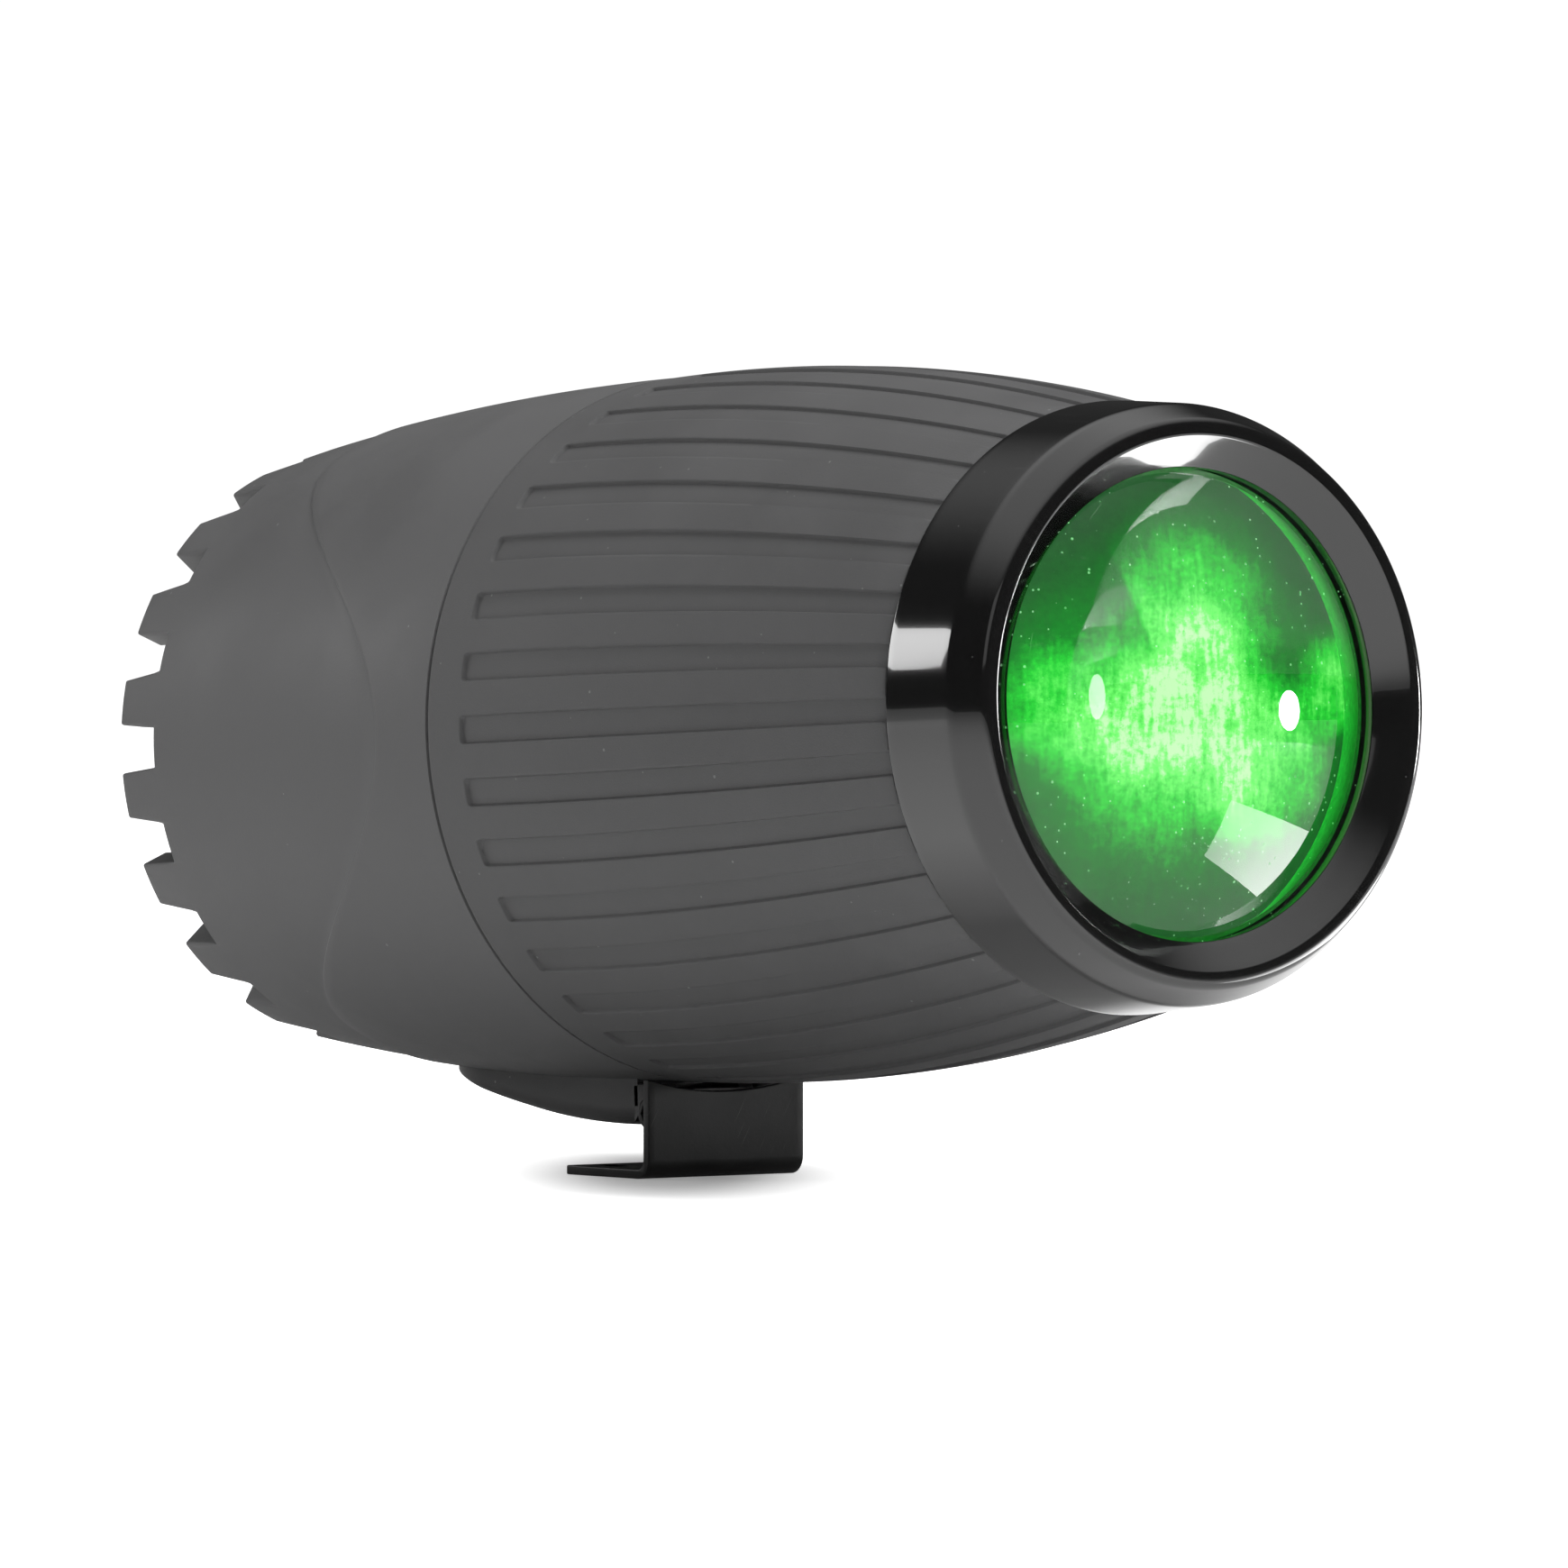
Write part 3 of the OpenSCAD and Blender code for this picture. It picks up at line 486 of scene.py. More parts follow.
def make_tilt_arm():
    """Section at each station: down one side, round the edge, across, and up the other side."""
    s = ARM_BACK + (SLOT_BACK - ARM_BACK) * np.linspace(0, 1, 44) ** 1.3
    taper = np.sqrt(1 - np.clip((ARM_BACK + 16.0 - s) / 16.4, 0, 1) ** 2)
    half = ARM_HALF * (0.25 + 0.75 * taper)
    depth = np.maximum(-rear_r(s) + 0.3 - arm_floor(s), 0.8) * (0.2 + 0.8 * taper)
    corner = np.minimum(4.0, 0.6 * depth)
    q = np.linspace(0, math.pi / 2, 8)
    side_x, side_y = 1 - np.cos(q), 1 - np.sin(q)
    x_half = np.concatenate([[0.0], 0 * q])[None, :] + 0 * s[:, None]
    x_half[:, 1:] = side_x[None, :] * corner[:, None]
    y_half = np.concatenate([[1.0], 0 * q])[None, :] * depth[:, None]
    y_half[:, 1:] = side_y[None, :] * corner[:, None]
    flat = np.linspace(0, 1, 7)[1:-1]
    left_x = -half[:, None] + x_half
    middle_x = (-half + corner)[:, None] * (1 - 2 * flat)[None, :]
    x = np.concatenate([left_x, middle_x, -left_x[:, ::-1]], axis=1)
    y = np.concatenate([y_half, 0 * middle_x, y_half[:, ::-1]], axis=1)
    top = np.linspace(1, -1, 9)[None, 1:-1] * half[:, None]
    surface = lambda xx: -np.sqrt(rear_r(s)[:, None] ** 2 - xx**2) + 0.3
    scale = (surface(x) - (surface(0 * x) - depth[:, None])) / depth[:, None]
    y = (surface(0 * x) - depth[:, None]) + y * np.where(y > 0.99 * depth[:, None], scale, 1.0)
    x = np.concatenate([x, top], axis=1)
    y = np.concatenate([y, surface(top)], axis=1)
    points = head_to_part(x, y, s[:, None] + 0 * x).reshape(-1, 3)
    faces = plate_faces(*x.shape)
    a = np.radians(np.linspace(180, 360, 25))
    nose = np.stack([PIVOT_S + NOSE_R * np.cos(a), -PIVOT_DROP + NOSE_R * np.sin(a)], axis=1)
    shell = -SEAM_R - 0.05
    cheek = np.concatenate([nose[:-1], [[PIVOT_S + NOSE_R * 0.97, -PIVOT_DROP + 1.4],
                                        [PIVOT_S + 2.4, shell + 0.1], [SLOT_BACK - 1.5, shell + 0.1],
                                        [SLOT_BACK - 1.5, -PIVOT_DROP - 1.8]]])
    for x0, x1 in ((-ARM_HALF, -SLOT_HALF), (SLOT_HALF, ARM_HALF)):
        across, rows = plate_rows(cheek, x0, x1, 0.5)
        more = head_to_part(across[:, None] + 0 * rows[..., 0], rows[..., 1], rows[..., 0])
        faces += plate_faces(*rows.shape[:2], first=len(points))
        points = np.concatenate([points, more.reshape(-1, 3)])
    piece = finish_mesh("tilt_arm_moulding", points, faces, "head", "arm_plastic", smooth_deg=40)
    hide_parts("tilt_arm")


make_tilt_arm()

# %% [markdown]
# ## The steel foot
# One strip of 2 mm sheet, bent once. Its side view is a closed outline with both bend radii in
# it. The outline is carried across the width, and the web's top edge rises and falls with x,
# so that it keeps the same gap to the barrel everywhere. The two screw holes are cut with a
# boolean, which suits a flat plate.

# %% Foot bracket
SHEET, BEND_R, BRACKET_W = 2.0, 4.0, 41.4
WEB_FRONT, FOOT_LEN, WEB_GAP = PIVOT_S + 9.0, 29.0, 1.5
HOLE_GAP, HOLE_R = 29.0, 2.75
PIVOT_Z = float(pivot[2] / MM)


def cut_holes(piece, cutters):
    """Subtracts the cutters with exact booleans, keeps the result and removes the cutters."""
    for cutter in cutters:
        made = piece.modifiers.new("hole", "BOOLEAN")
        made.object, made.operation, made.solver = cutter, "DIFFERENCE", "EXACT"
    bpy.context.view_layer.update()
    result = bpy.data.meshes.new_from_object(piece.evaluated_get(bpy.context.evaluated_depsgraph_get()))
    piece.modifiers.clear()
    piece.data = result
    for cutter in cutters:
        bpy.data.objects.remove(cutter)


def make_bracket():
    """Side outline (station, height) swept over x; points of the top edge follow the barrel."""
    back = WEB_FRONT - FOOT_LEN
    axis_z = PIVOT_Z + PIVOT_DROP
    top = axis_z - SEAM_R - WEB_GAP
    outline = rounded(
        [[back, 0], [WEB_FRONT, 0], [WEB_FRONT, top], [WEB_FRONT - SHEET, top], [WEB_FRONT - SHEET, SHEET],
         [back, SHEET]], [0.35, BEND_R, 0.35, 0.35, BEND_R - SHEET, 0.35], steps=9)
    edge, a = 0.3, np.linspace(0, math.pi / 2, 4)
    half = BRACKET_W / 2
    x = np.concatenate([-half + edge * (1 - np.cos(a)), np.linspace(-half + 2, half - 2, 33),
                        half - edge * (1 - np.cos(a[::-1]))])
    inset = np.zeros(len(x))
    inset[:4], inset[-4:] = edge * (1 - np.sin(a)), edge * (1 - np.sin(a[::-1]))
    rows = outline[None] - inset[:, None, None] * outline_normals(outline)[None]
    lift = axis_z - np.sqrt((SEAM_R + WEB_GAP) ** 2 - x**2) - top
    near_top = smoothstep(outline[:, 1], top - 3.0, top - 0.6)
    z = rows[..., 1] + lift[:, None] * near_top[None, :]
    points = foot_to_part(x[:, None] + 0 * z, rows[..., 0], z)
    piece = finish_mesh("foot_bracket_sheet", points, plate_faces(*z.shape), "foot", "black_steel", 35)
    cutters = []
    for sign in (-1, 1):
        turn = np.linspace(0, 2 * math.pi, 48, endpoint=False)
        ring = np.stack([HOLE_R * np.cos(turn), HOLE_R * np.sin(turn)], axis=1)
        tall = np.array([-5.0, 10.0])
        hole = foot_to_part(sign * HOLE_GAP / 2 + ring[None, :, 0], 0 * tall[:, None], tall[:, None])
        hole[..., 1] = MM * ring[None, :, 1]
        cutters.append(finish_mesh("hole_cutter", hole, plate_faces(2, 48), "foot", "black_steel"))
    cut_holes(piece, cutters)
    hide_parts("foot_bracket")


make_bracket()

# %% [markdown]
# ## Knob, bolt and screws
# The knob is a solid of revolution whose radius dips twelve times round its side. A screw is
# the same idea: a button head whose socket is a hexagon. The hexagon's radius at an angle is
# its flat's distance divided by the cosine of the angle to the nearest flat's middle.

# %% Turned pieces
def hexagon(phi, flat):
    """Radius of a hexagon, flat being the distance to its flats."""
    sixth = math.pi / 3
    return flat / np.cos((phi + sixth / 2) % sixth - sixth / 2)


def turned_points(profile, phi, place):
    """Grid of points for a profile of (height, radius) rows; radius may vary with the angle."""
    height = np.stack([np.broadcast_to(h, phi.shape) for h, _ in profile])
    radius = np.stack([np.broadcast_to(r, phi.shape) for _, r in profile])
    return place(height, radius * np.cos(phi), radius * np.sin(phi))


def along_x(centre_y, centre_s):
    """Places a turned piece with its axis across the lamp."""
    return lambda h, u, v: head_to_part(h, centre_y + u, centre_s + v)


def along_s(centre_x, centre_y, start, sign=1.0):
    """Places a turned piece with its axis along the head's; sign -1 runs it backwards."""
    return lambda h, u, v: head_to_part(centre_x + u, centre_y + v, start + sign * h)


KNOB_R, KNOB_W, KNOB_X = 6.3, 7.0, 12.9
FLUTES, FLUTE_DEPTH = 12, 0.75


def make_knob():
    """Flutes: the side's radius is less by a narrow cosine dip at each flute's angle."""
    phi = np.linspace(0, 2 * math.pi, FLUTES * 12, endpoint=False)
    dip = FLUTE_DEPTH * np.clip(np.cos(FLUTES * phi), 0, 1) ** 1.5
    r, width = KNOB_R, KNOB_W
    rows = [(0, 0.0), (0, 4.0), (0, r - 0.8 - dip * 0.4), (0.25, r - 0.3 - dip * 0.8), (0.8, r - dip),
            (width / 2, r - dip), (width - 1.2, r - dip), (width - 0.5, r - 0.3 - dip * 0.7),
            (width - 0.12, r - 0.9 - dip * 0.3), (width, r - 1.5), (width, 3.9), (width - 0.1, 3.6),
            (width - 0.55, 3.3), (width - 0.6, 3.0), (width - 0.6, 0.0)]
    points = turned_points([(KNOB_X + h, q) for h, q in rows], phi, along_x(-PIVOT_DROP, PIVOT_S))
    piece = finish_mesh("tilt_knob_grip", points, grid_faces(*points.shape[:2], close_rows=False),
                        "knob", "knob_plastic")
    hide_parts("tilt_knob")


def button_screw(place, head_r, head_h, shank_r, length, phi):
    """Socket floor, hexagonal wall, domed head, under the head, and down the shank."""
    socket = hexagon(phi, head_r * 0.42)
    dome = np.linspace(0, 1, 8)
    rows = [(-head_h * 0.35, 0.0), (-head_h * 0.35, socket), (-head_h * 0.93, socket),
            (-head_h, socket + 0.12)]
    rows += [(-head_h * (0.25 + 0.75 * math.cos(d * math.pi / 2)),
              head_r * (0.62 + 0.38 * math.sin(d * math.pi / 2))) for d in dome]
    rows += [(-0.1, head_r), (0.0, head_r - 0.1), (0.0, shank_r), (length - 0.4, shank_r),
             (length, shank_r - 0.4), (length, 0.0)]
    return turned_points(rows, phi, place)


def make_screws(name, node_name, places, head_r, head_h, shank_r, length, slot="screw_steel"):
    """One button screw at each place, all in one piece."""
    phi = np.linspace(0, 2 * math.pi, 48, endpoint=False)
    points, faces = np.zeros((0, 3)), []
    for place in places:
        grid = button_screw(place, head_r, head_h, shank_r, length, phi)
        faces += [[len(points) + v for v in f] for f in grid_faces(*grid.shape[:2], close_rows=False)]
        points = np.concatenate([points, grid.reshape(-1, 3)])
    piece = finish_mesh(name, points, faces, "head", slot, smooth_deg=30)
    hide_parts(node_name)
    return piece


# %% Knob, bolt and cover screws
COVER_R = float(rear_r(FLANGE_S, RIM_T)) - 0.6
COVER_SCREW_C = (FLANGE_IN + COVER_R) / 2
make_knob()
make_screws("pivot_bolt_turned", "pivot_bolt", [along_x(-PIVOT_DROP, PIVOT_S)], 3.8, 2.6, 2.0, 24.0,
            "bolt_black")
bolt = bpy.data.objects["pivot_bolt_turned"]
bolt.data.transform(Matrix.Translation(Vector(side) * -ARM_HALF * MM))
sixths = np.radians(np.arange(6) * 60.0)
make_screws("cover_screws_turned", "rear_cover_screws",
            [along_s(COVER_SCREW_C * math.cos(a), COVER_SCREW_C * math.sin(a), COVER_BACK) for a in sixths],
            2.9, 2.4, 1.5, 6.5)

# %% [markdown]
# ## The rear cover and the cable gland
# Inside the castellated rim sits a plate. Its face is a height map in polar coordinates: a rim,
# a ring of radial ribs that stiffen it, and a plain boss round the gland. The gland's nut is a
# hexagon whose corners are cut back by a cone, as on any turned nut.

# %% Rear cover
RIBS, FIELD_DEPTH = 24, 1.3
GLAND_Y = -20.0


def make_rear_cover():
    """Depth = field x (away from rim) x (away from boss) x (between ribs), smoothed at each edge."""
    phi = np.linspace(0, 2 * math.pi, RIBS * 14, endpoint=False)
    r = np.concatenate([[0.0, 6.0, 11.5], np.linspace(12, 15, 6), np.linspace(17, 47, 14),
                        np.linspace(48.2, 50.6, 6), [53.0, 56.0, COVER_R - 0.5]])
    off = np.abs((phi * RIBS / (2 * math.pi) + 0.5) % 1.0 - 0.5)[None, :] * 2 * math.pi / RIBS * r[:, None]
    x, y = r[:, None] * np.cos(phi), r[:, None] * np.sin(phi)
    boss = np.hypot(x, y - GLAND_Y)
    depth = (smoothstep(off, 0.6, 1.4) * smoothstep(r, 12, 14.5)[:, None]
             * (1 - smoothstep(r, 48.2, 50.6))[:, None] * smoothstep(boss, 12.5, 15.0)) * FIELD_DEPTH
    face = COVER_BACK + depth
    edge_r = np.array([COVER_R, COVER_R, COVER_R - 0.5, 0.0])
    edge_s = np.array([COVER_BACK + 0.5, -99.4, -99.0, -99.0])
    one = np.ones((1, len(phi)))
    radius = np.concatenate([r[:, None] * one, edge_r[:, None] * one])
    s = np.concatenate([face, edge_s[:, None] * one])
    points = head_to_part(radius * np.cos(phi), radius * np.sin(phi), s)
    piece = finish_mesh("rear_cover_ribbed", points, grid_faces(*s.shape, close_rows=False), "head",
                        "cover_plastic", smooth_deg=45)
    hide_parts("rear_cover")


make_rear_cover()

# %% Cable gland
GLAND_BORE, GLAND_FLANGE_T = 4.75, 4.0


def chamfered_hex(phi, corner_r, limit):
    """A hexagon of that corner radius, cut back wherever it is outside the limit."""
    return np.minimum(hexagon(phi, corner_r * math.cos(math.pi / 6)), limit)


def make_gland():
    """The flange and the nut, each from its bore out over the front and back to the bore."""
    phi = np.linspace(0, 2 * math.pi, 144, endpoint=False)
    bore, thread, back = GLAND_BORE, 6.0, GLAND_FLANGE_T
    ends, sides = chamfered_hex(phi, 9.8, 9.0), chamfered_hex(phi, 9.8, 9.6)
    flange = [(0.0, thread), (0.0, ends), (0.5, sides), (back - 0.6, sides),
              (back, chamfered_hex(phi, 9.8, 8.9)), (back, thread), (13.0, thread), (13.0, bore - 0.05),
              (-9.9, bore - 0.05), (-9.9, thread)]
    points = turned_points(flange, phi, along_s(0.0, GLAND_Y, COVER_BACK, -1.0))
    body = finish_mesh("gland_body_hex", points, grid_faces(*points.shape[:2]), "head", "gland_plastic", 30)
    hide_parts("gland_body")
    wall = chamfered_hex(phi, 8.6, 8.45)
    grips = 0.12 * np.clip(np.cos(36 * phi), 0, 1)
    nut = [(0.5, 6.1), (0.5, chamfered_hex(phi, 8.6, 7.8)), (1.2, wall), (4.5, wall - grips),
           (7.9, wall - grips), (8.5, chamfered_hex(phi, 8.6, 7.7)), (8.6, 7.3), (11.0, 6.4), (12.0, 5.9),
           (12.45, 5.4), (12.5, 5.0), (12.4, bore + 0.1), (10.1, bore + 0.1), (9.9, 6.1)]
    points = turned_points(nut, phi, along_s(0.0, GLAND_Y, COVER_BACK - GLAND_FLANGE_T, -1.0))
    cap = finish_mesh("gland_nut_cap", points, grid_faces(*points.shape[:2]), "head", "gland_plastic", 30)
    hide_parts("gland_nut")


make_gland()

# %% [markdown]
# ## Shared surface effects
# Three effects come back in almost every finish: a fine moulding grain, a scatter of dust, and
# faint scratches. Each is a shader node group, built once and given its own values in each
# material. A group hands out only heights and masks. The shader itself stays in the material.

# %% Node helpers
def link(tree, source, target):
    """Joins an output socket to an input socket."""
    tree.links.new(source, target)


def fill(tree, socket, value):
    """Joins the socket to value if that is a socket, and sets it to value if not."""
    if isinstance(value, bpy.types.NodeSocket):
        link(tree, value, socket)
    else:
        socket.default_value = value


def node(tree, kind, **inputs):
    """Adds a node and fills the inputs that are named, with _ for a space."""
    made = tree.nodes.new(kind)
    for name, value in inputs.items():
        fill(tree, made.inputs[name.replace("_", " ")], value)
    return made


def maths(tree, operation, a, b=0.0, c=0.0, clamp=False):
    """One Math node: its first output is the result."""
    made = tree.nodes.new("ShaderNodeMath")
    made.operation, made.use_clamp = operation, clamp
    for socket, value in zip(made.inputs, (a, b, c)):
        fill(tree, socket, value)
    return made.outputs[0]


def remap(tree, value, low, high, to_low=0.0, to_high=1.0, smooth=True):
    """Map Range from low..high to to_low..to_high, eased at both ends."""
    made = tree.nodes.new("ShaderNodeMapRange")
    made.interpolation_type = "SMOOTHSTEP" if smooth else "LINEAR"
    link(tree, value, made.inputs["Value"])
    for name, number in zip(("From Min", "From Max", "To Min", "To Max"), (low, high, to_low, to_high)):
        made.inputs[name].default_value = number
    return made.outputs["Result"]


def blend_colour(tree, share, a, b):
    """Mix of two colours, each a constant or a socket, by a share that varies."""
    made = tree.nodes.new("ShaderNodeMix")
    made.data_type = "RGBA"
    for number, value in ((0, share), (6, a), (7, b)):
        fill(tree, made.inputs[number], value)
    return made.outputs[2]


def new_group(name, inputs, outputs):
    """An empty shader group with float inputs (name, default) and float outputs."""
    tree = bpy.data.node_groups.new(name, "ShaderNodeTree")
    tree.interface.new_socket("Vector", in_out="INPUT", socket_type="NodeSocketVector")
    for label, default in inputs:
        socket = tree.interface.new_socket(label, in_out="INPUT", socket_type="NodeSocketFloat")
        socket.default_value = default
    for label in outputs:
        tree.interface.new_socket(label, in_out="OUTPUT", socket_type="NodeSocketFloat")
    return tree, tree.nodes.new("NodeGroupInput").outputs, tree.nodes.new("NodeGroupOutput").inputs


# %% Grain, dust and scratches
def build_grain():
    """Height = a fine noise plus half of one three times finer. Mottle = a broad soft noise."""
    tree, given, out = new_group("moulding_grain", [("Scale", 2500.0), ("Patch Scale", 40.0)],
                                 ["Height", "Mottle", "Speck"])
    coarse = node(tree, "ShaderNodeTexNoise", Vector=given["Vector"], Scale=given["Scale"], Detail=3.0)
    finer = maths(tree, "MULTIPLY", given["Scale"], 3.1)
    fine = node(tree, "ShaderNodeTexNoise", Vector=given["Vector"], Scale=finer, Detail=2.0)
    half = maths(tree, "MULTIPLY", fine.outputs[0], 0.5)
    link(tree, maths(tree, "ADD", coarse.outputs[0], half), out["Height"])
    patch = node(tree, "ShaderNodeTexNoise", Vector=given["Vector"], Scale=given["Patch Scale"],
                 Detail=5.0, Roughness=0.62)
    link(tree, remap(tree, patch.outputs[0], 0.3, 0.7), out["Mottle"])
    link(tree, remap(tree, fine.outputs[0], 0.66, 0.78), out["Speck"])
    return tree


def build_dust():
    """Mask = small discs at the feature points of a cell pattern, kept only in a few cells.

    A point's distance to its cell's centre gives the disc, and the cell's own random value
    decides whether that cell holds a speck and how large it is."""
    tree, given, out = new_group("dust_specks", [("Scale", 300.0), ("Amount", 0.1), ("Size", 0.2)], ["Mask"])
    cells = node(tree, "ShaderNodeTexVoronoi", Vector=given["Vector"], Scale=given["Scale"])
    split = tree.nodes.new("ShaderNodeSeparateColor")
    link(tree, cells.outputs["Color"], split.inputs[0])
    chosen = maths(tree, "LESS_THAN", split.outputs[0], given["Amount"])
    size = maths(tree, "MULTIPLY", split.outputs[1], given["Size"])
    inside = maths(tree, "SUBTRACT", size, cells.outputs["Distance"])
    disc = maths(tree, "MULTIPLY", inside, 30.0, clamp=True)
    link(tree, maths(tree, "MULTIPLY", disc, chosen), out["Mask"])
    return tree


def build_scratches():
    """Mask = the crests of a noise drawn out 60 times in one direction, broken up by another."""
    tree, given, out = new_group("fine_scratches", [("Scale", 60.0), ("Turn", 0.5)], ["Mask"])
    turned = node(tree, "ShaderNodeVectorRotate", Vector=given["Vector"], Angle=given["Turn"])
    turned.rotation_type = "Y_AXIS"
    drawn = node(tree, "ShaderNodeMapping", Vector=turned.outputs[0], Scale=(60.0, 1.0, 1.0))
    line = node(tree, "ShaderNodeTexNoise", Vector=drawn.outputs[0], Scale=given["Scale"], Detail=1.0)
    broken = node(tree, "ShaderNodeTexNoise", Vector=given["Vector"], Scale=given["Scale"], Detail=2.0)
    crest = remap(tree, line.outputs[0], 0.66, 0.74)
    gate = remap(tree, broken.outputs[0], 0.54, 0.66)
    link(tree, maths(tree, "MULTIPLY", crest, gate), out["Mask"])
    return tree


GROUPS = {"grain": build_grain(), "dust": build_dust(), "scratches": build_scratches()}
print("shader groups:", [tree.name for tree in GROUPS.values()])


def use_group(tree, key, vector, **values):
    """Places a group with its own values and returns its outputs."""
    made = tree.nodes.new("ShaderNodeGroup")
    made.node_tree = GROUPS[key]
    link(tree, vector, made.inputs["Vector"])
    for name, value in values.items():
        made.inputs[name.replace("_", " ")].default_value = value
    return made.outputs


# %% [markdown]
# ## Starting a material
# Each finish begins the same way: a Principled shader, and the object's own coordinates, in
# metres, so that a scale of 1000 means one cycle to the millimetre. Values that are the same
# all over go straight on the shader's sockets.

# %% Material helpers
def start_material(name, **constants):
    """A material with one Principled shader, its constants set, and Object coordinates."""
    material = bpy.data.materials.new(name)
    material.use_nodes = True
    tree = material.node_tree
    shader = tree.nodes["Principled BSDF"]
    for label, value in constants.items():
        shader.inputs[label.replace("_", " ")].default_value = value
    place = tree.nodes.new("ShaderNodeTexCoord").outputs["Object"]
    return material, tree, shader, place


def bump(tree, shader, height, strength, distance):
    """Feeds a height, whose full swing is distance metres, to the shader's normal."""
    made = tree.nodes.new("ShaderNodeBump")
    made.inputs["Strength"].default_value = strength
    made.inputs["Distance"].default_value = distance
    link(tree, height, made.inputs["Height"])
    link(tree, made.outputs[0], shader.inputs["Normal"])


def grey(value, tint=(1.0, 1.0, 1.0)):
    """An opaque grey, or a tinted one."""
    return tuple(value * t for t in tint) + (1.0,)


# %% [markdown]
# ## Moulded plastics
# Spark-eroded tool steel leaves a fine even grain on a moulding. It scatters light, so the
# surface looks dry, and it holds pale dust. The front shell has the coarser grain and the rear
# shell the smoother one; the arm, the knob and the gland are the same recipe in black.

# %% Moulded plastic
def moulded_plastic(name, base, rough, grain_mm, height_mm, dusty=0.06, mottle=0.08, tint=(1, 1, 1.01)):
    """Base colour = grey x (1 +- mottle), lifted at dust; roughness follows the same mottle."""
    material, tree, shader, place = start_material(name, Specular_IOR_Level=0.45)
    grain = use_group(tree, "grain", place, Scale=1000.0 / grain_mm, Patch_Scale=28.0)
    dark = blend_colour(tree, grain["Mottle"], grey(base * (1 - mottle), tint), grey(base * (1 + mottle), tint))
    flecked = blend_colour(tree, maths(tree, "MULTIPLY", grain["Speck"], 0.35), dark, grey(base * 1.9, tint))
    dust = use_group(tree, "dust", place, Scale=420.0, Amount=dusty, Size=0.16)
    pale = maths(tree, "MULTIPLY", dust["Mask"], 0.30)
    link(tree, blend_colour(tree, pale, flecked, grey(0.42)), shader.inputs["Base Color"])
    link(tree, remap(tree, grain["Mottle"], 0, 1, rough - 0.05, rough + 0.06, smooth=False),
         shader.inputs["Roughness"])
    bump(tree, shader, grain["Height"], 0.55, height_mm * MM)
    return material


MATERIALS = {
    "front_shell_plastic": moulded_plastic("front_shell_plastic", 0.090, 0.62, 0.38, 0.10, 0.10),
    "rear_shell_plastic": moulded_plastic("rear_shell_plastic", 0.108, 0.58, 0.55, 0.05, 0.05, 0.05),
    "arm_plastic": moulded_plastic("arm_plastic", 0.040, 0.45, 0.40, 0.05, 0.03),
    "knob_plastic": moulded_plastic("knob_plastic", 0.016, 0.45, 0.35, 0.05, 0.02),
    "cover_plastic": moulded_plastic("cover_plastic", 0.032, 0.55, 0.45, 0.07, 0.12),
    "gland_plastic": moulded_plastic("gland_plastic", 0.022, 0.38, 0.40, 0.04, 0.03),
    "washer_nylon": moulded_plastic("washer_nylon", 0.62, 0.45, 0.40, 0.03, 0.02, 0.05, (1, 0.96, 0.84)),
    "parts_black": moulded_plastic("parts_black", 0.025, 0.45, 0.40, 0.04, 0.02),
}
print("plastics:", sorted(MATERIALS))

# %% [markdown]
# ## Gloss, metal, rubber and boards
# Piano black needs almost no texture: a clear coat over black, with the faintest dust and hair
# scratches to give the reflections something to catch on. The powder coat on the foot is a
# satin black with an orange-peel surface and pale scratches where it has been handled.

# %% Piano black
def piano_black():
    """Clear coat over black; dust and hair scratches lift the colour and the roughness a little."""
    material, tree, shader, place = start_material(
        "bezel_gloss", Coat_Weight=1.0, Coat_Roughness=0.03, Specular_IOR_Level=0.5)
    dust = use_group(tree, "dust", place, Scale=500.0, Amount=0.05, Size=0.14)
    hair = use_group(tree, "scratches", place, Scale=40.0, Turn=0.9)
    marks = maths(tree, "ADD", maths(tree, "MULTIPLY", dust["Mask"], 0.25),
                  maths(tree, "MULTIPLY", hair["Mask"], 0.04), clamp=True)
    link(tree, blend_colour(tree, marks, grey(0.006), grey(0.35)), shader.inputs["Base Color"])
    link(tree, remap(tree, marks, 0, 1, 0.10, 0.5, smooth=False), shader.inputs["Roughness"])
    return material


# %% Powder coat and steel
def powder_coat(name):
    """Satin black: an orange-peel bump, and pale marks where the scratches' mask is high."""
    material, tree, shader, place = start_material(name, Specular_IOR_Level=0.35)
    grain = use_group(tree, "grain", place, Scale=1400.0, Patch_Scale=90.0)
    worn = use_group(tree, "scratches", place, Scale=55.0, Turn=-0.5)
    marks = maths(tree, "MULTIPLY", worn["Mask"], 0.35)
    base = blend_colour(tree, grain["Mottle"], grey(0.007), grey(0.011))
    link(tree, blend_colour(tree, marks, base, grey(0.25)), shader.inputs["Base Color"])
    link(tree, remap(tree, grain["Mottle"], 0, 1, 0.38, 0.50, smooth=False), shader.inputs["Roughness"])
    bump(tree, shader, grain["Height"], 0.35, 0.06 * MM)
    return material


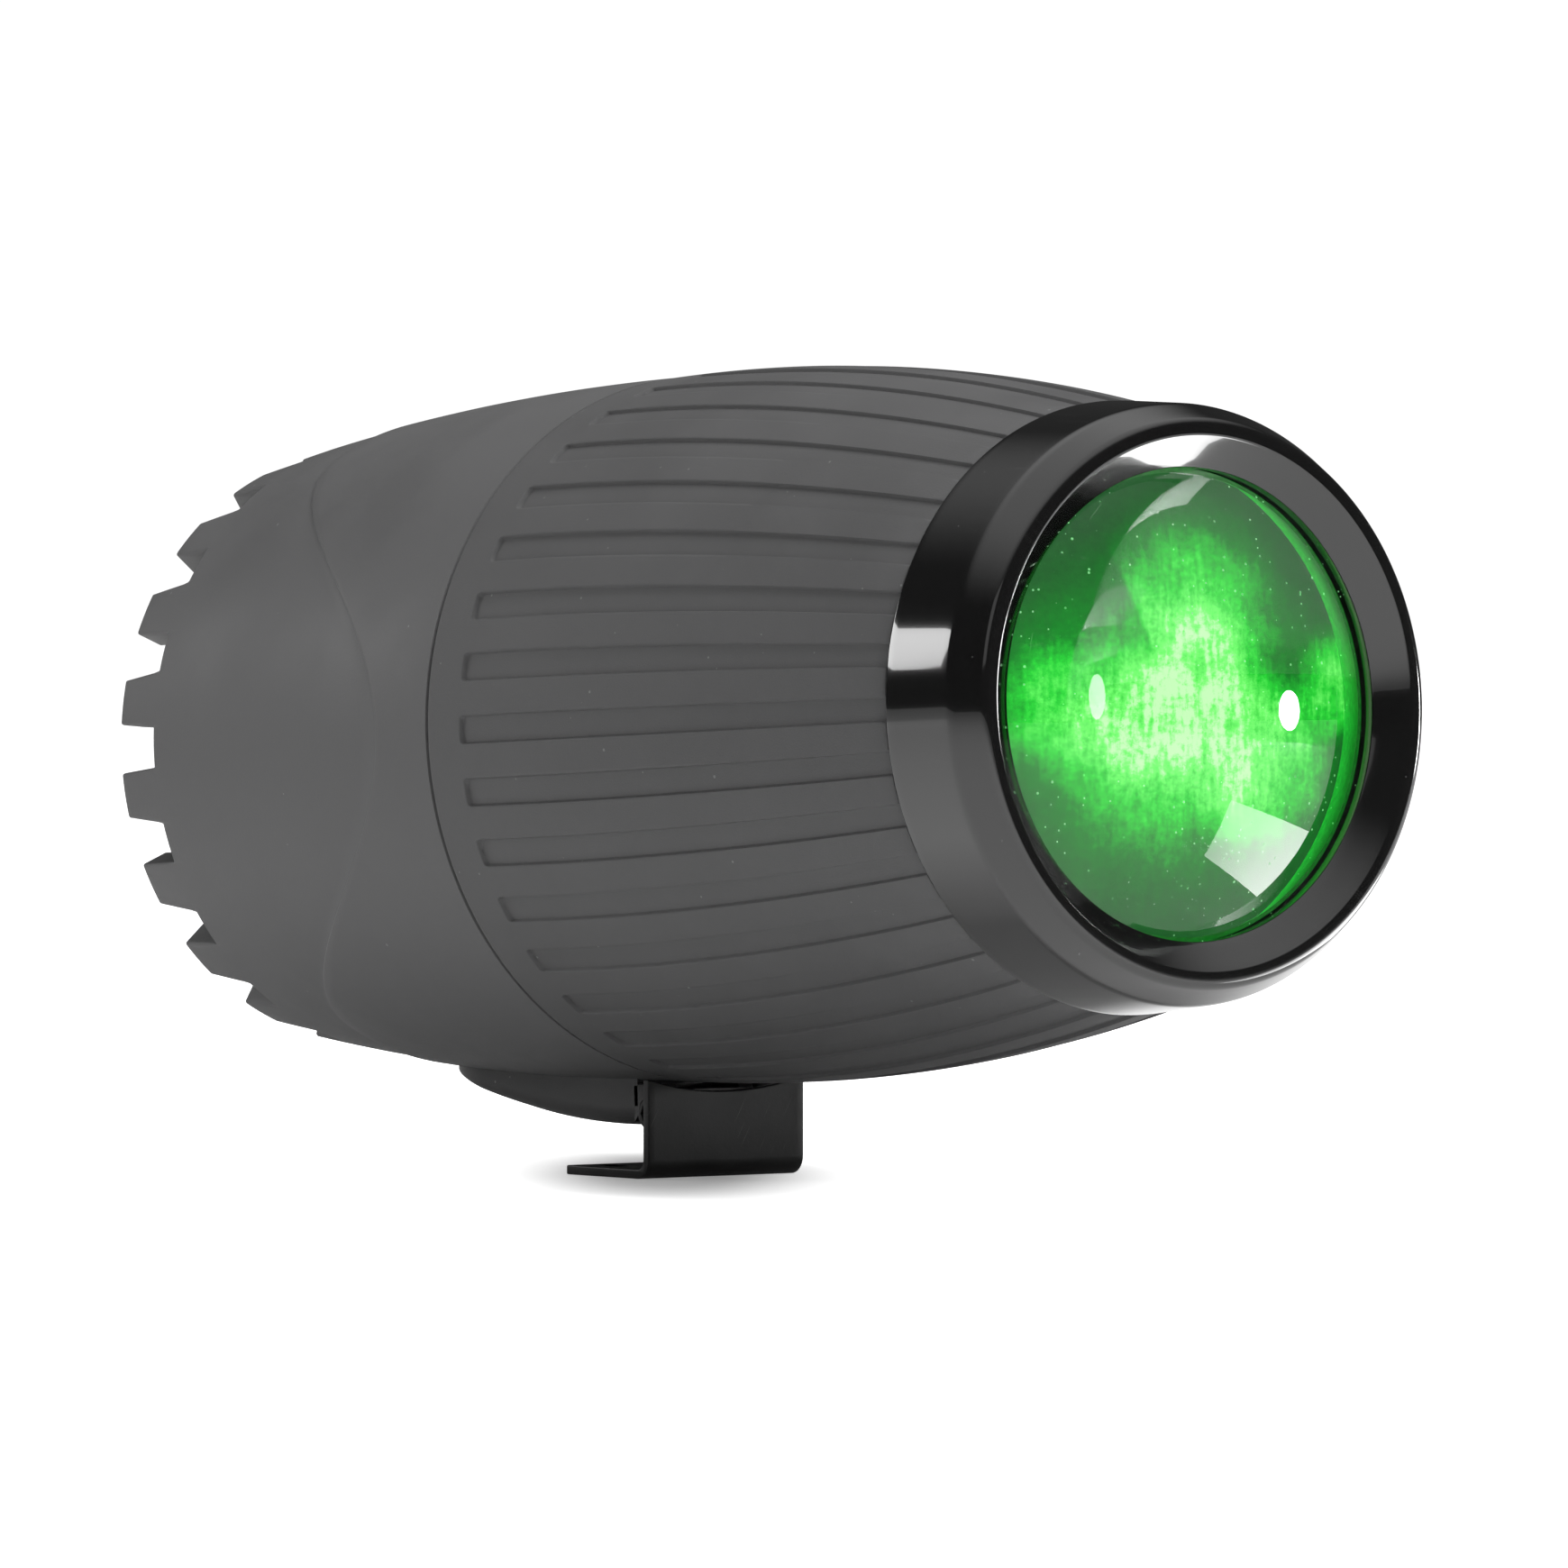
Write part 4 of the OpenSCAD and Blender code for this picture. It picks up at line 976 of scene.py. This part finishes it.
def bare_metal(name, colour, rough, lines=1500.0):
    """Metal with fine drawn lines: a noise stretched along the lamp shades roughness and tone."""
    material, tree, shader, place = start_material(name, Metallic=1.0)
    drawn = node(tree, "ShaderNodeMapping", Vector=place, Scale=(1.0, 0.03, 1.0))
    streak = node(tree, "ShaderNodeTexNoise", Vector=drawn.outputs[0], Scale=lines, Detail=3.0)
    tone = remap(tree, streak.outputs[0], 0.3, 0.7)
    dim = tuple(c * 0.8 for c in colour[:3]) + (1.0,)
    link(tree, blend_colour(tree, tone, dim, colour), shader.inputs["Base Color"])
    link(tree, remap(tree, tone, 0, 1, rough, rough + 0.14, smooth=False), shader.inputs["Roughness"])
    bump(tree, shader, streak.outputs[0], 0.15, 0.02 * MM)
    return material


def soft_rubber(name, base=0.014):
    """Seal rubber: matt black with a faint bloom in broad patches."""
    material, tree, shader, place = start_material(name, Specular_IOR_Level=0.3)
    grain = use_group(tree, "grain", place, Scale=1800.0, Patch_Scale=120.0)
    link(tree, blend_colour(tree, grain["Mottle"], grey(base), grey(base * 2.2)), shader.inputs["Base Color"])
    link(tree, remap(tree, grain["Mottle"], 0, 1, 0.62, 0.80, smooth=False), shader.inputs["Roughness"])
    bump(tree, shader, grain["Height"], 0.3, 0.04 * MM)
    return material


def board(name, dark, light):
    """Solder resist over copper: raised tracks show as slightly lighter, straight-edged cells."""
    material, tree, shader, place = start_material(name, Coat_Weight=0.4, Coat_Roughness=0.2)
    cells = node(tree, "ShaderNodeTexVoronoi", Vector=place, Scale=260.0)
    cells.distance = "CHEBYCHEV"
    track = remap(tree, cells.outputs["Distance"], 0.40, 0.46)
    link(tree, blend_colour(tree, track, light, dark), shader.inputs["Base Color"])
    link(tree, remap(tree, track, 0, 1, 0.28, 0.45, smooth=False), shader.inputs["Roughness"])
    bump(tree, shader, track, 0.4, -0.05 * MM)
    return material


MATERIALS.update({
    "bezel_gloss": piano_black(),
    "black_steel": powder_coat("black_steel"),
    "bolt_black": powder_coat("bolt_black"),
    "screw_steel": bare_metal("screw_steel", (0.60, 0.60, 0.61, 1.0), 0.22),
    "sink_aluminium": bare_metal("sink_aluminium", (0.78, 0.79, 0.80, 1.0), 0.30, 900.0),
    "reflector_metal": bare_metal("reflector_metal", (0.90, 0.91, 0.92, 1.0), 0.06, 400.0),
    "seal_rubber": soft_rubber("seal_rubber"),
    "pad_grey": soft_rubber("pad_grey", 0.11),
    "board_white": board("board_white", (0.70, 0.70, 0.68, 1), (0.80, 0.80, 0.77, 1)),
    "board_green": board("board_green", (0.012, 0.085, 0.03, 1), (0.03, 0.16, 0.06, 1)),
    "wire_red": moulded_plastic("wire_red", 0.30, 0.35, 0.50, 0.02, 0.0, 0.05, (1, 0.08, 0.05)),
})

# %% [markdown]
# ## Green light
# The lamp is lit. The four emitters' light on the etched sheet behind the lens is painted on it
# as a glow in soft lobes, brushed and pitted by the etching, with a painted shadow of a facet
# across it. The glass is clear: it bends the glow and adds the studio's reflections.

# %% Lit diffuser, emitters and glass
def head_coordinates(tree, place):
    """Turns Object coordinates into head millimetres: x across, y up and z forward."""
    moved = node(tree, "ShaderNodeMapping", Vector=place, Location=tuple(-seam / MM), Scale=(1 / MM,) * 3)
    turned = node(tree, "ShaderNodeMapping", Vector=moved.outputs[0],
                  Rotation=(math.radians(rest_tilt - 90.0), 0.0, 0.0))
    return turned.outputs[0]


def distance(tree, x, y, middle):
    """Plane distance from a middle point: the root of the sum of the squared offsets."""
    dx, dy = maths(tree, "SUBTRACT", x, middle[0]), maths(tree, "SUBTRACT", y, middle[1])
    return maths(tree, "SQRT", maths(tree, "ADD", maths(tree, "POWER", dx, 2.0), maths(tree, "POWER", dy, 2.0)))


# Each lobe of painted glow: middle (x, y), radius and strength. WIDE_GLOW: two radii, and the strength at each.
# All are in millimetres on the sheet.
LOBES = (((16, 19), 20, 0.30), ((-6, 3), 20, 0.36), ((27, -9), 20, 0.46), ((7, -9), 16, 0.34),
         ((14, 4), 16, 0.42), ((45, 4), 12, 0.55), ((-43, 2), 9, 0.40))
GLOW_MIDDLE, INNER_RING_R = (12, -2), 29.5
WIDE_GLOW = (6.0, 42.0, 0.36, 0.02)
# Painted shadow of the optic: the normal of the facet's edge, and the strength of the painted shade under the
# facet and outside the ring.
FACET_ACROSS, FACET_SHADE, CORNER_SHADE = (-0.925, -0.378), -0.42, -0.35


def lit_sheet():
    """Painted glow: emission = a wide falloff plus lobes, less under a painted shadow of the optic's facet and
    its ring.

    The facet's painted shadow is a half plane with a slanted edge, kept to the upper half. The ring's
    painted shade covers what lies outside a circle in the upper left. Fine brushed streaks and pits multiply
    the whole."""
    material, tree, shader, place = start_material("diffuser_sheet", Roughness=0.5, Specular_IOR_Level=0.05)
    local = head_coordinates(tree, place)
    split = tree.nodes.new("ShaderNodeSeparateXYZ")
    link(tree, local, split.inputs[0])
    x, y = split.outputs[0], split.outputs[1]
    glow = remap(tree, distance(tree, x, y, GLOW_MIDDLE), *WIDE_GLOW)
    for middle, radius, strength in LOBES:
        lobe = remap(tree, distance(tree, x, y, middle), 0.2 * radius, radius, strength, 0.0)
        glow = maths(tree, "ADD", glow, lobe)
    slant = maths(tree, "ADD", maths(tree, "MULTIPLY", x, FACET_ACROSS[0]),
                  maths(tree, "MULTIPLY", y, FACET_ACROSS[1]))
    facet = maths(tree, "MULTIPLY", remap(tree, slant, -11.6, -10.4), remap(tree, y, 3.0, 13.0))
    outside = remap(tree, distance(tree, x, y, (1.7, 0)), INNER_RING_R - 0.6, INNER_RING_R + 0.6)
    corner = maths(tree, "MULTIPLY", remap(tree, x, -2.0, 10.0, 1.0, 0.0), remap(tree, y, -6.0, 6.0))
    # Painted shadow of the facet and of the ring.
    shade = maths(tree, "MULTIPLY_ADD", facet, FACET_SHADE, 1.0)
    shade = maths(tree, "MULTIPLY", shade,
                  maths(tree, "MULTIPLY_ADD", maths(tree, "MULTIPLY", outside, corner), CORNER_SHADE, 1.0))
    glow = maths(tree, "MULTIPLY", glow, shade)
    brushed = node(tree, "ShaderNodeMapping", Vector=local, Scale=(1.0, 0.16, 1.0), Rotation=(0, 0, 0.35))
    streak = node(tree, "ShaderNodeTexNoise", Vector=brushed.outputs[0], Scale=1.1, Detail=4.0)
    pits = node(tree, "ShaderNodeTexNoise", Vector=local, Scale=0.9, Detail=4.0, Roughness=0.7)
    broad = node(tree, "ShaderNodeTexNoise", Vector=local, Scale=0.11, Detail=3.0)
    for noise, amount in ((streak, 0.16), (pits, 0.20), (broad, 0.26)):
        wave = remap(tree, noise.outputs[0], 0.3, 0.7, 1.0 - amount, 1.0 + amount, smooth=False)
        glow = maths(tree, "MULTIPLY", glow, wave)
    ramp = tree.nodes.new("ShaderNodeValToRGB")
    link(tree, glow, ramp.inputs[0])
    shades = ((0.0, (0.012, 0.05, 0.018)), (0.22, (0.004, 0.17, 0.014)), (0.48, (0.018, 0.60, 0.035)),
              (0.78, (0.17, 0.92, 0.15)), (1.0, (0.58, 1.0, 0.50)))
    while len(ramp.color_ramp.elements) < len(shades):
        ramp.color_ramp.elements.new(0.5)
    for stop, (at, colour) in zip(ramp.color_ramp.elements, shades):
        stop.position, stop.color = at, colour + (1.0,)
    link(tree, ramp.outputs[0], shader.inputs["Emission Color"])
    shader.inputs["Emission Strength"].default_value = GLOW
    link(tree, blend_colour(tree, pits.outputs[0], (0.01, 0.06, 0.012, 1), (0.02, 0.12, 0.025, 1)),
         shader.inputs["Base Color"])
    return material


def lit_spacer():
    """Black tube with the sheet's green light painted on its wall: the painted glow falls off from the sheet to
    the glass.
    """
    material, tree, shader, place = start_material("spacer_black", Roughness=0.3)
    split = tree.nodes.new("ShaderNodeSeparateXYZ")
    link(tree, head_coordinates(tree, place), split.inputs[0])
    rough = node(tree, "ShaderNodeTexNoise", Vector=place, Scale=900.0, Detail=3.0)
    near = remap(tree, split.outputs[2], FRONT_LEN - WALL, LENS_BACK, 1.0, 0.25)
    lit = maths(tree, "MULTIPLY", near, remap(tree, rough.outputs[0], 0.3, 0.7, 0.6, 1.0))
    # Painted green light on the tube's wall.
    link(tree, blend_colour(tree, lit, (0, 0.01, 0, 1), (0.02, 0.75, 0.05, 1)), shader.inputs["Emission Color"])
    shader.inputs["Emission Strength"].default_value = 0.8
    link(tree, blend_colour(tree, rough.outputs[0], grey(0.010), grey(0.016)), shader.inputs["Base Color"])
    return material


def lit_emitter():
    """A die under a clear dome: brightest where the die's fine grid shows."""
    material, tree, shader, place = start_material("emitter", Roughness=0.2)
    grid = node(tree, "ShaderNodeTexVoronoi", Vector=place, Scale=900.0)
    grid.distance = "CHEBYCHEV"
    core = remap(tree, grid.outputs["Distance"], 0.1, 0.6, 1.0, 0.6)
    link(tree, blend_colour(tree, core, (0.0, 0.5, 0.02, 1), (0.2, 1.0, 0.25, 1)),
         shader.inputs["Emission Color"])
    shader.inputs["Emission Strength"].default_value = 4.0
    link(tree, blend_colour(tree, core, (0.1, 0.6, 0.1, 1), (0.3, 0.9, 0.3, 1)), shader.inputs["Base Color"])
    return material


def lens_material():
    """Clear glass; dust on it is rough, and carries a painted green glow for the lamp's own light on it."""
    material, tree, shader, place = start_material(
        "lens_glass", Transmission_Weight=1.0, IOR=1.52, Base_Color=(0.96, 1.0, 0.97, 1.0))
    fine = use_group(tree, "dust", place, Scale=650.0, Amount=0.34, Size=0.20)
    large = use_group(tree, "dust", place, Scale=260.0, Amount=0.10, Size=0.11)
    patch = node(tree, "ShaderNodeTexNoise", Vector=place, Scale=28.0, Detail=2.0)
    dust_and_painted_glow = maths(tree, "MULTIPLY", maths(tree, "MAXIMUM", fine["Mask"], large["Mask"]),
                   remap(tree, patch.outputs[0], 0.36, 0.56))
    link(tree, maths(tree, "MULTIPLY", dust_and_painted_glow, 0.55), shader.inputs["Roughness"])
    # Painted green glow on the dust.
    link(tree, blend_colour(tree, dust_and_painted_glow, (0, 0, 0, 1), (0.16, 0.62, 0.20, 1)), shader.inputs["Emission Color"])
    shader.inputs["Emission Strength"].default_value = 1.0
    return material


GLOW = 1.15
MATERIALS.update({"diffuser_sheet": lit_sheet(), "spacer_black": lit_spacer(), "emitter": lit_emitter(),
                  "lens_glass": lens_material()})
print("finishes made:", len(MATERIALS))

# %% [markdown]
# ## Camera and floor
# The camera stands level with the lamp, two metres and a half away, to the front and on the
# side away from the knob. A long lens from that distance keeps the barrel from flaring.

# %% Camera
CAMERA_HEAD = (-1516.9, -51.7, 1985.4)
CAMERA_TURN, CAMERA_RISE = 37.72, -0.91
SENSOR_MM, LENS_MM = 36.0, 270.68276


def make_camera():
    """Placed in the head's frame and turned so that the lamp sits as framed."""
    data = bpy.data.cameras.new("camera")
    data.sensor_width, data.lens = SENSOR_MM, LENS_MM
    data.clip_end = 50.0
    camera = bpy.data.objects.new("camera", data)
    bpy.context.scene.collection.objects.link(camera)
    camera.location = head_to_part(*map(np.array, CAMERA_HEAD))
    turn, rise = math.radians(CAMERA_TURN), math.radians(CAMERA_RISE)
    back = (math.cos(rise) * math.cos(turn) * forward - math.cos(rise) * math.sin(turn) * side
            + math.sin(rise) * up)
    camera.rotation_mode = "QUATERNION"
    camera.rotation_quaternion = Vector(-back).to_track_quat("-Z", "Y")
    bpy.context.scene.camera = camera
    return camera


camera = make_camera()
print("camera at", [round(v, 3) for v in camera.location])


# %% [markdown]
# ## Giving every part its finish
# A CAD node keeps its mesh and takes the finish of its slot in the record. A new piece names
# its slot when it is made. One pass over both leaves nothing with a plain default.

# %% Assign finishes
def give_finish(piece, slot_name):
    """The piece's only material is its slot's."""
    piece.data.materials.clear()
    piece.data.materials.append(MATERIALS[slot_name])


node_slot = {row["node"]: row["material_slot"] for row in frame["record"]["subparts"]}
for node_name, cad_piece in frame["nodes"].items():
    give_finish(cad_piece, node_slot[node_name])
for piece in [o for o in bpy.context.scene.objects if o.get("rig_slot")]:
    give_finish(piece, piece["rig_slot"])
print("slots in use:", len(set(node_slot.values())))

# %% [markdown]
# ## Floor and light
# A lit white table and a white surround carry the lamp without a line between them. The lamp
# is lit by soft boxes: a broad one high in front, a low one behind, a small disc at the far
# side, a card near the table in front, and a faint fill. The black bezel and the glass show
# each of them as a patch, so their places suit those patches as much as the light on the
# shells. Two boxes are kept out of one kind of ray each, so that each does only one job.

# %% Studio
def area_light(name, direction, reach, size, power, aim_s=60.0, shape="RECTANGLE", hidden_from="",
               spread=180.0):
    """A soft box, size in metres, that looks at a station on the head's axis from reach away.

    hidden_from names one kind of ray, glossy or diffuse, that passes the box by, and spread is the
    full angle in degrees that it shines into."""
    data = bpy.data.lights.new(name, "AREA")
    data.shape, data.size, data.size_y = shape, size[0], size[1]
    data.energy, data.spread = power, math.radians(spread)
    lamp = bpy.data.objects.new(name, data)
    bpy.context.scene.collection.objects.link(lamp)
    target = Vector(head_to_part(np.array(0.0), np.array(0.0), np.array(aim_s)))
    away = Vector(direction).normalized()
    lamp.location = target + away * reach
    lamp.rotation_mode = "QUATERNION"
    lamp.rotation_quaternion = (-away).to_track_quat("-Z", "Y")
    lamp.visible_camera = False
    lamp.visible_glossy = hidden_from != "glossy"
    lamp.visible_diffuse = hidden_from != "diffuse"
    return lamp


def light_table_material(name):
    """White acrylic lit from below, with a painted shadow round the foot, drawn out towards the camera."""
    material, tree, shader, place = start_material(name, Roughness=0.9, Specular_IOR_Level=0.1)
    tooth = node(tree, "ShaderNodeTexNoise", Vector=place, Scale=3.0, Detail=2.0)
    link(tree, blend_colour(tree, tooth.outputs[0], grey(0.78), grey(0.80)), shader.inputs["Base Color"])
    turned = node(tree, "ShaderNodeMapping", Vector=place, Rotation=(0.0, 0.0, math.radians(CAMERA_TURN)))
    squeezed = node(tree, "ShaderNodeMapping", Vector=turned.outputs[0], Scale=(1.0, 0.25, 1.0))
    away = tree.nodes.new("ShaderNodeVectorMath")
    away.operation = "LENGTH"
    link(tree, squeezed.outputs[0], away.inputs[0])
    # Painted shadow: the table's glow is dimmer in an ellipse round the foot.
    glow = remap(tree, away.outputs["Value"], *FOOT_SHADE)
    seen = tree.nodes.new("ShaderNodeLightPath").outputs["Is Camera Ray"]
    share = maths(tree, "MULTIPLY_ADD", seen, 1.0 - TABLE_LIGHT, TABLE_LIGHT)
    link(tree, maths(tree, "MULTIPLY", glow, share), shader.inputs["Emission Strength"])
    shader.inputs["Emission Color"].default_value = grey(1.0)
    return material


# The painted shadow round the foot: two radii in metres, and the share of light at each.
FOOT_SHADE, TABLE_LIGHT, FLOOR_REACH = (0.010, 0.040, 0.25, 1.0), 0.13, 12.0


def make_floor():
    """A flat pale floor, as a coarse grid of squares."""
    line = np.linspace(-FLOOR_REACH, FLOOR_REACH, 9)
    x, y = np.meshgrid(line, line, indexing="ij")
    mesh = bpy.data.meshes.new("floor")
    mesh.from_pydata(np.stack([x, y, 0 * x - 0.0001], axis=-1).reshape(-1, 3).tolist(), [],
                     grid_faces(9, 9, False, False))
    floor = bpy.data.objects.new("floor", mesh)
    bpy.context.scene.collection.objects.link(floor)
    floor.data.materials.append(light_table_material("floor_acrylic"))


def set_world(seen, level, high):
    """The camera sees white. The rest gets a dim horizon that brightens towards the zenith."""
    world = bpy.data.worlds.new("studio")
    bpy.context.scene.world = world
    world.use_nodes = True
    tree = world.node_tree
    split = tree.nodes.new("ShaderNodeSeparateXYZ")
    link(tree, tree.nodes.new("ShaderNodeTexCoord").outputs["Generated"], split.inputs[0])
    sky = remap(tree, split.outputs[2], 0.54, 0.92, level, high)
    path = tree.nodes.new("ShaderNodeLightPath").outputs["Is Camera Ray"]
    shade = maths(tree, "MAXIMUM", maths(tree, "MULTIPLY", path, seen), sky)
    background = tree.nodes["Background"]
    background.inputs["Color"].default_value = grey(1.0)
    link(tree, shade, background.inputs["Strength"])


make_floor()
set_world(1.05, 0.03, 0.8)
area_light("high_front_box", (0.13, -0.46, 0.87), 1.6, (0.9, 0.45), 26.0, hidden_from="glossy")
area_light("low_rear_box", (-0.54, 0.80, 0.27), 1.6, (0.9, 0.3), 5.0)
area_light("far_side_disc", (0.860, -0.510, 0.02), 1.5, (0.20, 0.16), 3.6, shape="ELLIPSE")
area_light("table_card", (0.77, -0.338, -0.541), 0.17, (0.13, 0.07), 0.055, aim_s=160.0,
           hidden_from="diffuse", spread=80.0)
area_light("camera_fill", (-0.75, -0.60, 0.45), 3.0, (1.6, 1.2), 3.0)
bpy.context.scene.view_settings.view_transform = "Standard"
